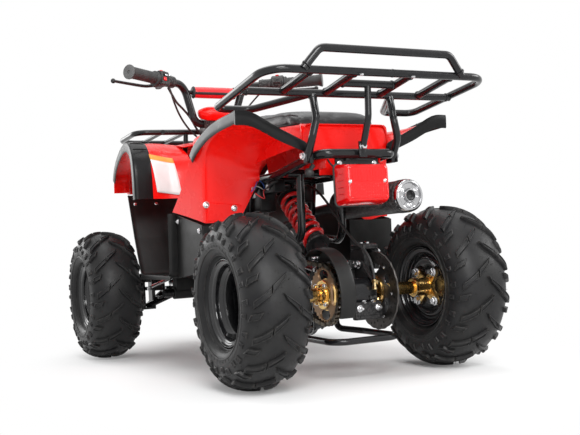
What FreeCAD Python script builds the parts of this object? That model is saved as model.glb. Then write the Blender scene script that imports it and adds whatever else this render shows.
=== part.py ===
import FreeCAD, Part
import math
import os

from FreeCAD import Vector

# Youth utility quad bike with a rear carrier, in millimetres.
# It is laid out from the rear axle line: X forward, Y to the left, Z up from the ground.
# Each piece is moved to the middle of the machine's length as it is written.

# Driving dimensions
WHEELBASE = 855.0
REAR_TRACK = 476.0
FRONT_TRACK = 620.0
REAR_OVERHANG = 203.0
FRONT_OVERHANG = 232.0
SEAT_GAP = 0.3

# Wheels
TYRE_D = 360.0
TYRE_WIDTH = 142.0
LUG_HEIGHT = 8.0
TREAD_PITCHES = 14
TREAD_SQUARENESS = 2.35
RIM_LIP_D = 178.0
RIM_LIP_WIDTH = 104.0
RIM_WELL_D = 134.0
RIM_SHEET = 3.0
REAR_DISH = 34.0
FRONT_DISH = 8.0
WHEEL_BOLT_PCD = 90.0
WHEEL_BOLT_HOLE_D = 10.0
WHEEL_BOLTS = 4

# Rear axle and drive
AXLE_D = 28.0
CARRIER_D = 62.0
CARRIER_WIDTH = 90.0
SPROCKET_Y = 63.0
CHAIN_PITCH = 12.7
SPROCKET_TEETH = 31
DRIVE_TEETH = 17
SPROCKET_SHEET = 6.0
CHAIN_WIDTH = 14.0
CHAIN_HEIGHT = 10.0
DRIVE_X = 400.0
DRIVE_Z = 238.0
DISC_Y = -66.0
DISC_D = 170.0
DISC_SHEET = 4.0
CABLE_D = 6.0
CABLE_END = (-38.0, -38.0)
CABLE_RISE = 26.0

# Frame
MAIN_TUBE_D = 25.0
SUB_TUBE_D = 18.0
RAIL_Y = 85.0
LOWER_RAIL_Z = 185.0
UPPER_RAIL_Z = 447.0
TAIL_LOOP_X = -66.0
TAIL_LOOP_Z = 471.0
FRAME_FRONT_X = 915.0
PIVOT_X = 315.0
PIVOT_Z = 240.0
PIVOT_D = 14.0
SWING_Y = 28.0
SWING_D = 28.0
SWING_BEND = (170.0, 214.0)
PIVOT_SLEEVE = 84.0
PEG_X = 505.0
PEG_Z = 185.0
PEG_D = 20.0
ENGINE_MOUNTS = (380.0, 590.0)
ENGINE_BAR_D = 16.0
ENGINE_BAR_Z = 182.0
ENGINE_CASE_Z = 199.0
SHOCK_TOP_X = 290.0
SHOCK_TOP_Z = 422.0
POST_X = 104.0
POST_Y = 52.0

# Carriers
RACK_TUBE_D = 16.0
RACK_REAR_HALF = 258.0
RACK_REAR_Z = 617.0
RACK_FRONT_X = 92.0
RACK_FRONT_Z = 586.0
RACK_HOOP_Z = 657.0
SLAT_Y = 66.0

# Steering
COLUMN_TOP_X = 722.0
COLUMN_TOP_Z = 652.0
COLUMN_LOW_X = 862.0
COLUMN_LOW_Z = 262.0
COLUMN_D = 22.0
BAR_D = 22.0
GRIP_END_Y = 286.0
GRIP_X = 584.0
GRIP_Z = 765.0
GRIP_LENGTH = 112.0
BAR_BEND = (712.0, 92.0, 762.0)
BAR_CLAMP_Y = 58.0
CROSSBAR_Z = 742.0
CROSSBAR_D = 12.0
KINGPIN_Y = 205.0
KINGPIN_D = 14.0
STUB_D = 16.0
STUB_END = 311.0
FRONT_SHOCK_LOW = (868.0, 148.0, 192.0)
FRONT_SHOCK_TOP_X = 888.0
FRONT_SHOCK_TOP_Y = 114.0
ARM_PIVOTS = (775.0, 900.0)
ARM_PIVOT_Y = 109.0
ARM_PIVOT_Z = 178.0
BUSH_WIDTH = 32.0

# Bodywork
SKIN = 4.0
SEAT_BASE = ((-20.0, 540.0), (60.0, 545.0), (160.0, 552.0), (250.0, 566.0), (400.0, 592.0), (520.0, 606.0))
TREAD_Z = 228.0
LAMP_X = 1002.0
LAMP_Y = 80.0
LAMP_Z = 474.0
LAMP_D = 76.0
MOULDING_SHEET = 3.0
ARCH_Y = 256.0
NOSE_Y = 280.0
NOSE_TAPER = 0.115

WHEEL_Z = TYRE_D / 2
MID_X = (WHEELBASE + FRONT_OVERHANG - REAR_OVERHANG) / 2
PITCH_R = CHAIN_PITCH / (2 * math.sin(math.pi / SPROCKET_TEETH))
DRIVE_R = CHAIN_PITCH / (2 * math.sin(math.pi / DRIVE_TEETH))
REAR_Y = REAR_TRACK / 2
FRONT_Y = FRONT_TRACK / 2
SIDES = (("left", 1), ("right", -1))


def vec(x, y, z):
    return Vector(x, y, z)


def mirrored(shape):
    return shape.mirror(vec(0, 0, 0), vec(0, 1, 0))


def sided(shape, side):
    return shape if side > 0 else mirrored(shape)


def both(shape):
    return [shape, mirrored(shape)]


def fuse(shapes):
    if len(shapes) == 1:
        return shapes[0]
    return shapes[0].multiFuse(shapes[1:])


def rod(start, end, d):
    """Plain round bar between two points."""
    axis = end - start
    return Part.makeCylinder(d / 2, axis.Length, start, axis)


def rounded_path(points, bend):
    """Straight runs joined by arcs tangent to both."""
    edges = []
    last = points[0]
    for i in range(1, len(points) - 1):
        corner = points[i]
        into = (points[i - 1] - corner).normalize()
        out = (points[i + 1] - corner).normalize()
        half = into.getAngle(out) / 2
        radius = bend[i - 1] if isinstance(bend, (list, tuple)) else bend
        reach = radius / math.tan(half)
        room = 0.48 * min((points[i - 1] - corner).Length, (points[i + 1] - corner).Length)
        if reach > room:
            reach = room
            radius = reach * math.tan(half)
        a = corner + into * reach
        b = corner + out * reach
        middle = (into + out).normalize()
        top = corner + middle * (radius / math.sin(half) - radius)
        if (a - last).Length > 1e-6:
            edges.append(Part.makeLine(last, a))
        edges.append(Part.Arc(a, top, b).toShape())
        last = b
    edges.append(Part.makeLine(last, points[-1]))
    return Part.Wire(edges)


def tube(points, d, bend=40.0):
    """Bent round tube along straight runs and arcs."""
    path = rounded_path(points, bend)
    start = points[0]
    ring = Part.Wire(Part.makeCircle(d / 2, start, points[1] - start))
    return path.makePipeShell([ring], True, False)


def plate(outline, thickness, normal):
    """Flat sheet from an outline, grown along its normal."""
    return Part.Face(closed(outline)).extrude(normal * thickness)


def turned(profile, axis_y, x, z):
    """Solid of revolution about a lateral axis; profile holds (y, r) pairs."""
    points = [vec(x, axis_y + y, z + r) for y, r in profile]
    face = Part.Face(Part.makePolygon(points + [points[0]]))
    return face.revolve(vec(x, 0, z), vec(0, 1, 0), 360)


def ring_y(x, y0, y1, z, r_out, r_in):
    """Ring or disc between two lateral planes."""
    solid = Part.makeCylinder(r_out, y1 - y0, vec(x, y0, z), vec(0, 1, 0))
    if r_in > 0:
        solid = solid.cut(Part.makeCylinder(r_in, y1 - y0 + 2, vec(x, y0 - 1, z), vec(0, 1, 0)))
    return solid


def skin_loft(sections, ruled=True):
    """Thin shell lofted through closed outlines."""
    wires = [closed(s) for s in sections]
    return Part.makeLoft(wires, True, ruled)


def closed(points):
    return Part.makePolygon(points + [points[0]])


def profile_wall(points, plane_normal, thickness):
    """Outline of a wall of even thickness that follows an open polyline in one plane."""
    offsets = []
    count = len(points)
    for i in range(count):
        normals = []
        if i > 0:
            normals.append((points[i] - points[i - 1]).normalize().cross(plane_normal))
        if i < count - 1:
            normals.append((points[i + 1] - points[i]).normalize().cross(plane_normal))
        if len(normals) == 1:
            offsets.append(points[i] + normals[0] * thickness)
        else:
            total = (normals[0] + normals[1]).normalize()
            stretch = thickness / total.dot(normals[0])
            offsets.append(points[i] + total * stretch)
    return points + offsets[::-1]


def smooth_line(points, steps=3):
    """Finer points along a smooth curve through the given ones."""
    fine = []
    last = len(points) - 1
    for i in range(last):
        before = points[max(i - 1, 0)]
        start = points[i]
        end = points[i + 1]
        after = points[min(i + 2, last)]
        slope = end - before
        bend = before * 2 - start * 5 + end * 4 - after
        twist = start * 3 - before - end * 3 + after
        for k in range(steps):
            t = k / steps
            fine.append((start * 2 + slope * t + bend * t ** 2 + twist * t ** 3) * 0.5)
    return fine + [points[-1]]


# Wheels

def tyre_section(crown_r, half):
    """Half of a tyre's outer line from the crown to below the shoulder, as (y, radius) pairs."""
    lip_r = RIM_LIP_D / 2
    low_r = lip_r + (crown_r - lip_r) / 3
    power = 2 / TREAD_SQUARENESS
    line = []
    steps = 12
    for i in range(steps + 1):
        angle = math.pi / 2 * i / steps
        drop = max(math.cos(angle), 0.0) ** power
        line.append((half * math.sin(angle) ** power, low_r + (crown_r - low_r) * drop))
    return line


def tread_block(outline, envelope):
    """Raised block: an outline laid on the tread, cut to the tyre's outer form."""
    points = [vec(-c, y, TYRE_D / 4) for y, c in outline]
    block = Part.Face(closed(points)).extrude(vec(0, 0, TYRE_D / 2))
    return block.common(envelope)


def tyre_form():
    """Tyre about its centre: a round-shouldered carcass with rows of chevron lugs."""
    crown_r = TYRE_D / 2 - LUG_HEIGHT
    half = TYRE_WIDTH / 2 - 1
    seat_r = RIM_LIP_D / 2 - 11
    lip = RIM_LIP_WIDTH / 2
    section = tyre_section(crown_r, half)
    low_y, low_r = section[-1]
    bead = [
        (low_y - 2, low_r - 9),
        (low_y - 8, low_r - 18),
        (lip + 4, low_r - 21),
        (lip - 1, RIM_LIP_D / 2 + 3),
        (lip - 6, seat_r + 13),
        (lip - 6, seat_r + SEAT_GAP),
    ]
    line = section + bead
    other = [(-a, r) for a, r in line[1:]]
    carcass = turned(line + other[::-1], 0, 0, 0)
    outer = tyre_section(TYRE_D / 2, half + 1)
    outer.append((0.0, outer[-1][1]))
    envelope = turned(outer + [(-a, r) for a, r in outer[1:-1]][::-1], 0, 0, 0)
    step = 2 * math.pi / TREAD_PITCHES
    edge = half - 9
    blocks = []
    for side in (1, -1):
        arm = [(-5, -17), (1, -6), (edge, 34), (edge, 22), (half * 0.4, 2)]
        leaf = [(45, -29), (50, -18), (half + 4, -11), (half - 2, -24)]
        shapes = [tread_block([(side * y, c) for y, c in outline], envelope) for outline in (arm, leaf)]
        for i in range(TREAD_PITCHES):
            turn = i + (0.0 if side > 0 else 0.5)
            for shape in shapes:
                block = shape.copy()
                block.rotate(vec(0, 0, 0), vec(0, 1, 0), math.degrees(step * turn))
                blocks.append(block)
    return fuse([carcass] + blocks)


def tyre(form, x, y):
    shape = form.copy()
    shape.translate(vec(x, y, WHEEL_Z))
    return shape


def rim(x, y, dish, side, hub_bore):
    """Pressed steel rim: lips, bead seats, well and a dished centre disc."""
    lip_r = RIM_LIP_D / 2
    lip = RIM_LIP_WIDTH / 2
    seat_r = lip_r - 11
    well_r = RIM_WELL_D / 2
    sheet = RIM_SHEET
    shell = [
        (lip + 1, lip_r),
        (lip - 3, lip_r),
        (lip - 5, seat_r),
        (lip - 18, seat_r),
        (lip - 25, well_r),
        (-lip + 25, well_r),
        (-lip + 18, seat_r),
        (-lip + 5, seat_r),
        (-lip + 3, lip_r),
        (-lip - 1, lip_r),
        (-lip - 1, lip_r - sheet),
        (-lip + 2, seat_r - sheet),
        (-lip + 16.5, seat_r - sheet),
        (-lip + 23.5, well_r - sheet),
        (lip - 23.5, well_r - sheet),
        (lip - 16.5, seat_r - sheet),
        (lip - 2, seat_r - sheet),
        (lip + 1, lip_r - sheet),
    ]
    barrel = turned(shell, y, x, WHEEL_Z)
    disc_y = y + side * dish
    disc_low = disc_y - sheet / 2
    edge_r = well_r if abs(dish) < lip - 25 else seat_r
    disc = ring_y(x, disc_low, disc_low + sheet, WHEEL_Z, edge_r - sheet / 2, hub_bore)
    wheel = barrel.fuse(disc)
    for i in range(WHEEL_BOLTS):
        angle = math.pi / WHEEL_BOLTS + i * 2 * math.pi / WHEEL_BOLTS
        bx = x + WHEEL_BOLT_PCD / 2 * math.cos(angle)
        bz = WHEEL_Z + WHEEL_BOLT_PCD / 2 * math.sin(angle)
        hole = Part.makeCylinder(WHEEL_BOLT_HOLE_D / 2, 20, vec(bx, disc_y - 10, bz), vec(0, 1, 0))
        wheel = wheel.cut(hole)
    return wheel


def front_rim(side):
    """Front rim with its brake drum, hub and cap."""
    wheel = rim(WHEELBASE, side * FRONT_Y, FRONT_DISH, side, 0)
    disc_inner = FRONT_Y + FRONT_DISH - RIM_SHEET / 2
    shell = ring_y(WHEELBASE, 246, disc_inner + 1, WHEEL_Z, 54, 0)
    shell = shell.cut(ring_y(WHEELBASE, 240, 272, WHEEL_Z, 49, 0))
    boss = ring_y(WHEELBASE, 262, disc_inner + 1, WHEEL_Z, 20, 0)
    cap = ring_y(WHEELBASE, disc_inner, disc_inner + 22, WHEEL_Z, 21, 0)
    bore = ring_y(WHEELBASE, 240, STUB_END + 2, WHEEL_Z, STUB_D / 2 + SEAT_GAP, 0)
    hub = fuse([shell, boss, cap]).cut(bore)
    return wheel.fuse(sided(hub, side))


def rear_rim(side):
    y = side * REAR_Y
    return rim(0, y, -REAR_DISH, side, 20.0)


def rear_axle():
    """Solid axle with a four-arm hub flange at each end."""
    face_y = REAR_Y - REAR_DISH - RIM_SHEET / 2 - SEAT_GAP
    shaft_end = face_y + 26
    shaft = rod(vec(0, -shaft_end, WHEEL_Z), vec(0, shaft_end, WHEEL_Z), AXLE_D)
    boss = ring_y(0, face_y - 44, face_y, WHEEL_Z, 21, 0)
    plate_d = WHEEL_BOLT_PCD + 22
    arms = []
    for i in range(2):
        angle = 45 + 90 * i
        arm = Part.makeBox(plate_d, 8, 26, vec(-plate_d / 2, face_y - 8, -13))
        arm.rotate(vec(0, 0, 0), vec(0, 1, 0), angle)
        arm.translate(vec(0, 0, WHEEL_Z))
        arms.append(arm)
    hub = fuse([boss] + arms)
    nut = Part.makeCylinder(15, 14, vec(0, face_y, WHEEL_Z), vec(0, 1, 0))
    sprocket_seat = ring_y(0, SPROCKET_Y - 11, SPROCKET_Y - SPROCKET_SHEET / 2 - SEAT_GAP, WHEEL_Z, 34, 0)
    sprocket_nut = ring_y(0, SPROCKET_Y + SPROCKET_SHEET / 2 + SEAT_GAP, SPROCKET_Y + 17, WHEEL_Z, 22, 0)
    disc_face = DISC_Y + DISC_SHEET / 2 + SEAT_GAP
    disc_seat = ring_y(0, disc_face, disc_face + 8, WHEEL_Z, 34, 0)
    parts = [shaft] + both(hub) + both(nut) + [sprocket_seat, sprocket_nut, disc_seat]
    return fuse(parts)


def sprocket():
    """Rear chain wheel: pointed teeth under the chain, and four round windows."""
    y = SPROCKET_Y - SPROCKET_SHEET / 2
    tip_r = PITCH_R - CHAIN_HEIGHT / 2 - 1.5
    outline = []
    for i in range(SPROCKET_TEETH):
        for share, r in ((0.0, tip_r - 4.5), (0.3, tip_r - 4.5), (0.55, tip_r), (0.75, tip_r)):
            angle = 2 * math.pi * (i + share) / SPROCKET_TEETH
            outline.append(vec(r * math.cos(angle), y, WHEEL_Z + r * math.sin(angle)))
    blank = Part.Face(closed(outline)).extrude(vec(0, SPROCKET_SHEET, 0))
    blank = blank.cut(ring_y(0, y - 1, y + SPROCKET_SHEET + 1, WHEEL_Z, AXLE_D / 2 + SEAT_GAP, 0))
    window = tip_r * 0.64
    for i in range(4):
        angle = math.radians(90 * i)
        hx = window * math.cos(angle)
        hz = WHEEL_Z + window * math.sin(angle)
        blank = blank.cut(Part.makeCylinder(tip_r * 0.19, 20, vec(hx, y - 5, hz), vec(0, 1, 0)))
    return blank


def brake_disc():
    """Rear brake disc with four windows and a row of small holes."""
    y = DISC_Y - DISC_SHEET / 2
    disc = ring_y(0, y, y + DISC_SHEET, WHEEL_Z, DISC_D / 2, AXLE_D / 2 + SEAT_GAP)
    for count, at_r, hole_r in ((4, DISC_D * 0.26, DISC_D * 0.06), (12, DISC_D * 0.41, DISC_D * 0.02)):
        for i in range(count):
            angle = 2 * math.pi * (i + 0.5) / count
            hx = at_r * math.cos(angle)
            hz = WHEEL_Z + at_r * math.sin(angle)
            disc = disc.cut(Part.makeCylinder(hole_r, 20, vec(hx, y - 5, hz), vec(0, 1, 0)))
    return disc


# Frame

def frame_tubes(grow=0.0):
    """Left half of the tube frame, with a chosen extra diameter."""
    main = MAIN_TUBE_D + grow
    sub = SUB_TUBE_D + grow
    y = RAIL_Y
    low = LOWER_RAIL_Z
    high = UPPER_RAIL_Z
    lower = tube([
        vec(FRAME_FRONT_X - 5, y, low + 250),
        vec(FRAME_FRONT_X, y, low),
        vec(PIVOT_X + 45, y, low),
        vec(PIVOT_X - 10, y, high),
    ], main, [24, 60])
    upper = tube([
        vec(FRAME_FRONT_X - 5, y, low + 250),
        vec(FRAME_FRONT_X - 25, y, high + 45),
        vec(740, y, high + 45),
        vec(640, y, high),
        vec(160, y, high),
        vec(TAIL_LOOP_X + 40, y, TAIL_LOOP_Z),
        vec(TAIL_LOOP_X, y, TAIL_LOOP_Z),
        vec(TAIL_LOOP_X, -5, TAIL_LOOP_Z),
    ], sub + 2, [30, 60, 60, 60, 20, 36])
    post = tube([
        vec(POST_X, POST_Y, high),
        vec(POST_X + 6, POST_Y, 292),
        vec(PIVOT_X + 16, y - 8, 312),
    ], sub, 34)
    return [lower, upper, post]


def frame():
    tubes = []
    for piece in frame_tubes():
        tubes += both(piece)
    y = RAIL_Y
    cross = [
        (FRAME_FRONT_X, LOWER_RAIL_Z, MAIN_TUBE_D),
        (ENGINE_MOUNTS[0], ENGINE_BAR_Z, ENGINE_BAR_D),
        (ENGINE_MOUNTS[1], ENGINE_BAR_Z, ENGINE_BAR_D),
        (FRAME_FRONT_X - 25, UPPER_RAIL_Z + 45, 18),
        (POST_X, UPPER_RAIL_Z, 18),
        (286, UPPER_RAIL_Z, 18),
    ]
    bars = [rod(vec(x, -y, z), vec(x, y, z), d) for x, z, d in cross]
    peg = rod(vec(PEG_X, -250, PEG_Z), vec(PEG_X, 250, PEG_Z), PEG_D)
    ear_y = PIVOT_SLEEVE / 2 + SEAT_GAP
    pivot_plate = Part.makeBox(50, 6, 60, vec(PIVOT_X - 16, ear_y, PIVOT_Z - 30))
    pivot = rod(vec(PIVOT_X, -ear_y - 5, PIVOT_Z), vec(PIVOT_X, ear_y + 5, PIVOT_Z), PIVOT_D)
    pivot_tie = rod(vec(PIVOT_X + 24, ear_y + 2, PIVOT_Z), vec(PIVOT_X + 24, y, PIVOT_Z), 16)
    pieces = tubes + bars + [peg, pivot] + both(pivot_plate) + both(pivot_tie)
    pieces += column_bearings()
    pieces += shock_ears()
    pieces += [tail_bracket()]
    pieces += arm_pivots()
    return fuse(pieces)


def column_axis():
    low = vec(COLUMN_LOW_X, 0, COLUMN_LOW_Z)
    top = vec(COLUMN_TOP_X, 0, COLUMN_TOP_Z)
    return low, (top - low).normalize()


def column_bearings():
    """Upper and lower steering bearings with the bars that carry them."""
    low, along = column_axis()
    lower_at = low - along * 2
    upper_at = low + along * 262
    pieces = []
    for at, length in ((lower_at - along * 22, 20.0), (upper_at, 30.0)):
        outer = Part.makeCylinder(20, length, at, along)
        bore = Part.makeCylinder(COLUMN_D / 2 + SEAT_GAP, length + 2, at - along, along)
        pieces.append(outer.cut(bore))
    foot = lower_at - along * 12
    for side in (1, -1):
        start = foot + vec(0, side * 19, 0)
        pieces.append(rod(start, vec(foot.x + 6, side * RAIL_Y, LOWER_RAIL_Z), 16))
    high = upper_at + along * 15
    for side in (1, -1):
        start = high + vec(0, side * 18, 0)
        pieces.append(rod(start, vec(high.x + 4, side * RAIL_Y, UPPER_RAIL_Z + 45), 14))
    return pieces


def shock_ears():
    """Upper mounts of the three dampers."""
    ears = []
    for side in (1, -1):
        ears.append(Part.makeBox(24, 5, 36, vec(278, side * 19 - 2.5, SHOCK_TOP_Z - 10)))
        start = vec(FRONT_SHOCK_TOP_X, side * RAIL_Y, UPPER_RAIL_Z + 20)
        ears.append(rod(start, start + vec(0, side * (FRONT_SHOCK_TOP_Y - RAIL_Y + 18), 0), 10))
    ears.append(rod(vec(SHOCK_TOP_X, -20, SHOCK_TOP_Z), vec(SHOCK_TOP_X, 20, SHOCK_TOP_Z), 10))
    return ears


def tail_bracket():
    """Folded strap under the tail loop that carries the rear lamp."""
    back = Part.makeBox(4, 104, 100, vec(TAIL_LOOP_X + 8, -52, TAIL_LOOP_Z - 108))
    strap = Part.makeBox(4, 60, 14, vec(TAIL_LOOP_X + 2, -30, TAIL_LOOP_Z - 14))
    tie = Part.makeBox(10, 60, 4, vec(TAIL_LOOP_X + 2, -30, TAIL_LOOP_Z - 14))
    return fuse([back, strap, tie])


def arm_pivots():
    """Pins on the lower rails that the front suspension arms turn on."""
    pieces = []
    half = BUSH_WIDTH / 2
    for side in (1, -1):
        y = side * ARM_PIVOT_Y
        for x in ARM_PIVOTS:
            pieces.append(rod(vec(x - half - 4, y, ARM_PIVOT_Z), vec(x + half + 4, y, ARM_PIVOT_Z), 10))
            for low in (x - half - 4, x + half):
                inner = min(side * RAIL_Y, side * (RAIL_Y + 32))
                pieces.append(Part.makeBox(4, 32, 22, vec(low, inner, ARM_PIVOT_Z - 11)))
    return pieces


def front_bumper():
    """Tube guard ahead of the nose."""
    front = WHEELBASE + FRONT_OVERHANG - RACK_TUBE_D / 2
    y = 62.0
    base = FRAME_FRONT_X + MAIN_TUBE_D / 2 + SEAT_GAP
    hoop = tube([
        vec(base - 8, y, LOWER_RAIL_Z + 4),
        vec(front, y, 262),
        vec(front, y, 420),
        vec(front - 20, y + 78, 470),
        vec(front - 20, -y - 78, 470),
        vec(front, -y, 420),
        vec(front, -y, 262),
        vec(base - 8, -y, LOWER_RAIL_Z + 4),
    ], 20, [30, 30, 20, 20, 30, 30])
    bar = rod(vec(front, -y, 330), vec(front, y, 330), 16)
    skid = plate([
        vec(base - 1, -y - 10, 200),
        vec(base + 12, -y - 10, 218),
        vec(base + 12, y + 10, 218),
        vec(base - 1, y + 10, 200),
    ], 3, vec(0, 0, 1))
    hoop = fuse([hoop, bar, skid])
    cross = rod(vec(FRAME_FRONT_X, -140, LOWER_RAIL_Z), vec(FRAME_FRONT_X, 140, LOWER_RAIL_Z),
                MAIN_TUBE_D + 2 * SEAT_GAP)
    return hoop.cut(cross)


# Carriers

def rear_rack():
    d = RACK_TUBE_D
    rear_x = -REAR_OVERHANG + d / 2
    rail_x = rear_x + 14
    rail_z = RACK_REAR_Z
    half = RACK_REAR_HALF
    front_z = RACK_FRONT_Z
    cross_x = -52.0
    cross_z = 598.0
    side_half = tube([
        vec(rail_x, 0, rail_z),
        vec(rail_x, half, rail_z),
        vec(RACK_FRONT_X, half - 6, front_z),
        vec(RACK_FRONT_X, 169, front_z),
        vec(cross_x + 4, 97, cross_z - 1),
    ], d, [46, 22, 30])
    cross = rod(vec(cross_x, -half + 5, cross_z), vec(cross_x, half - 5, cross_z), d)
    slats = []
    for y in (SLAT_Y, 164.0):
        slats += both(rod(vec(cross_x, y, cross_z), vec(rail_x, y, rail_z), d))
    brace_x = (cross_x + rail_x) / 2
    brace_z = (cross_z + rail_z) / 2
    reach = SLAT_Y - d / 4
    brace = rod(vec(brace_x, -reach, brace_z), vec(brace_x, reach, brace_z), d)
    hoop = tube([
        vec(rear_x + 8, 184, rail_z),
        vec(rear_x, 150, RACK_HOOP_Z),
        vec(rear_x, -150, RACK_HOOP_Z),
        vec(rear_x + 8, -184, rail_z),
    ], d, 22)
    leg = tube([
        vec(cross_x, 94, cross_z - 2),
        vec(cross_x - 12, 94, 545),
        vec(cross_x - 8, RAIL_Y + 19, 505),
        vec(-33, RAIL_Y + 19, TAIL_LOOP_Z - 8),
    ], d, 40)
    pad = Part.makeBox(22, 8, 26, vec(-44, RAIL_Y + 11, TAIL_LOOP_Z - 17))
    mid_leg = tube([
        vec(brace_x, 0, brace_z - 2),
        vec(brace_x + 4, 0, 540),
        vec(TAIL_LOOP_X - 15, 0, TAIL_LOOP_Z + 2),
    ], d - 2, 40)
    pieces = both(side_half) + [cross] + slats + [brace, hoop] + both(leg) + both(pad) + [mid_leg]
    rack = fuse(pieces)
    for piece in frame_tubes(2 * SEAT_GAP)[1:2]:
        rack = rack.cut(piece).cut(mirrored(piece))
    return rack


def front_rack_legs(grow=0.0):
    """Four legs of the front carrier, down through the bodywork to the frame."""
    d = RACK_TUBE_D - 2 + grow
    top = 640.0
    leg = tube([vec(968, 130, top - 6), vec(964, 128, 596), vec(905, RAIL_Y + 2, 500)], d, 30)
    back = tube([vec(800, 60, top), vec(800, 62, 600), vec(790, RAIL_Y - 4, 502)], d, 30)
    return both(leg) + both(back)


def front_rack():
    d = RACK_TUBE_D
    top = 640.0
    ring = tube([
        vec(1000, 0, top - 6),
        vec(1000, 205, top - 6),
        vec(820, 205, top),
        vec(790, 0, top),
    ], d, [50, 40])
    pieces = both(ring)
    for y in (60.0, 130.0):
        pieces += both(rod(vec(797, y, top), vec(1000, y, top - 6), d - 4))
    rack = fuse(pieces + front_rack_legs())
    for piece in frame_tubes(2 * SEAT_GAP)[1:2]:
        rack = rack.cut(piece).cut(mirrored(piece))
    return rack


# Rear suspension and drive

def swing_tube(grow=0.0):
    """Left arm of the swing arm."""
    return tube([
        vec(PIVOT_X - 8, SWING_Y, PIVOT_Z),
        vec(SWING_BEND[0], SWING_Y, SWING_BEND[1]),
        vec(20, SWING_Y, WHEEL_Z + 4),
    ], SWING_D + grow, 120)


def swingarm():
    sleeve = ring_y(PIVOT_X, -PIVOT_SLEEVE / 2, PIVOT_SLEEVE / 2, PIVOT_Z, 17, 0)
    arm = swing_tube()
    carrier = ring_y(0, -CARRIER_WIDTH / 2, CARRIER_WIDTH / 2, WHEEL_Z, CARRIER_D / 2, AXLE_D / 2 + SEAT_GAP)
    ear = Part.makeBox(34, 5, 52, vec(82, 19, 214))
    pin = rod(vec(99, -22, 256), vec(99, 22, 256), 10)
    skid_z = WHEEL_Z - 96
    skid = tube([
        vec(140, SWING_Y + 2, (WHEEL_Z + SWING_BEND[1]) / 2 + 8),
        vec(126, SWING_Y + 6, skid_z + 10),
        vec(84, 80, skid_z + 2),
        vec(-64, 80, skid_z),
        vec(-64, -80, skid_z),
        vec(84, -80, skid_z + 2),
        vec(126, -SWING_Y - 6, skid_z + 10),
        vec(140, -SWING_Y - 2, (WHEEL_Z + SWING_BEND[1]) / 2 + 8),
    ], 14, [16, 20, 34, 34, 20, 16])
    bore = rod(vec(0, -60, WHEEL_Z), vec(0, 60, WHEEL_Z), AXLE_D + 2 * SEAT_GAP)
    arms = both(arm) + both(ear)
    body = fuse([sleeve, carrier, pin, skid] + arms)
    pivot_bore = rod(vec(PIVOT_X, -60, PIVOT_Z), vec(PIVOT_X, 60, PIVOT_Z), PIVOT_D + 2 * SEAT_GAP)
    return body.cut(bore).cut(pivot_bore)


def chain_line(offset):
    """Closed outline round both sprockets at a distance from the pitch line."""
    dx = DRIVE_X
    dz = DRIVE_Z - WHEEL_Z
    span = math.hypot(dx, dz)
    big = PITCH_R + offset
    small = DRIVE_R + offset
    tilt = math.atan2(dz, dx)
    lean = math.acos((PITCH_R - DRIVE_R) / span)
    points = []
    for sign in (1, -1):
        a = tilt + sign * lean
        direction = vec(math.cos(a), 0, math.sin(a))
        points.append((vec(0, 0, WHEEL_Z) + direction * big, vec(dx, 0, DRIVE_Z) + direction * small))
    back = tilt + math.pi
    rear = vec(big * math.cos(back), 0, WHEEL_Z + big * math.sin(back))
    front = vec(dx + small * math.cos(tilt), 0, DRIVE_Z + small * math.sin(tilt))
    (top_big, top_small), (low_big, low_small) = points
    return Part.Wire([
        Part.makeLine(top_big, top_small),
        Part.Arc(top_small, front, low_small).toShape(),
        Part.makeLine(low_small, low_big),
        Part.Arc(low_big, rear, top_big).toShape(),
    ])


def chain():
    """Roller chain: a core of inner links with pairs of outer link plates along it."""
    core_half = CHAIN_HEIGHT / 2 - 1.2
    outer = Part.Face(chain_line(core_half))
    inner = Part.Face(chain_line(-core_half))
    core_width = CHAIN_WIDTH - 4
    loop = outer.cut(inner).extrude(vec(0, core_width, 0))
    loop.translate(vec(0, SPROCKET_Y - core_width / 2, 0))
    pitch_line = chain_line(0)
    links = 2 * int(pitch_line.Length / CHAIN_PITCH / 2)
    stations = pitch_line.discretize(Number=2 * links + 1)
    pieces = [loop]
    for i in range(0, 2 * links, 4):
        along = stations[i + 2] - stations[i]
        turn = FreeCAD.Rotation(vec(1, 0, 0), along)
        for side in (1, -1):
            link = Part.makeBox(CHAIN_PITCH + 6, 2.5, CHAIN_HEIGHT)
            link.translate(vec(-3, side * (CHAIN_WIDTH / 2 - 1.25) - 1.25, -CHAIN_HEIGHT / 2))
            at = vec(stations[i].x, SPROCKET_Y, stations[i].z)
            link.Placement = FreeCAD.Placement(at, turn).multiply(link.Placement)
            pieces.append(link)
    return fuse(pieces)


def chain_guard():
    """Moulded guard over the rear sprocket: a rim band and an inner wall."""
    inner_y = SWING_Y + SWING_D / 2 + SEAT_GAP
    band_out = PITCH_R + 36
    solid = ring_y(0, inner_y, SPROCKET_Y + 17, WHEEL_Z, band_out, band_out - 4)
    wall = ring_y(0, inner_y, inner_y + 3, WHEEL_Z, band_out, band_out - 30)
    solid = solid.fuse(wall)
    lug = plate([
        vec(30, inner_y, WHEEL_Z + 78), vec(62, inner_y, WHEEL_Z + 66), vec(112, inner_y, WHEEL_Z + 30),
        vec(98, inner_y, WHEEL_Z + 8), vec(62, inner_y, WHEEL_Z + 8), vec(52, inner_y, WHEEL_Z + 44),
    ], 3, vec(0, 1, 0))
    start = math.radians(-28)
    spread = math.radians(150)
    reach = 400.0
    points = [vec(0, 0, WHEEL_Z)]
    for i in range(6):
        angle = math.pi - start - spread * (1 - i / 5)
        points.append(vec(reach * math.cos(angle), 0, WHEEL_Z + reach * math.sin(angle)))
    sector = Part.Face(Part.makePolygon(points + [points[0]])).extrude(vec(0, 200, 0))
    return solid.common(sector).fuse(lug)


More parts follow.
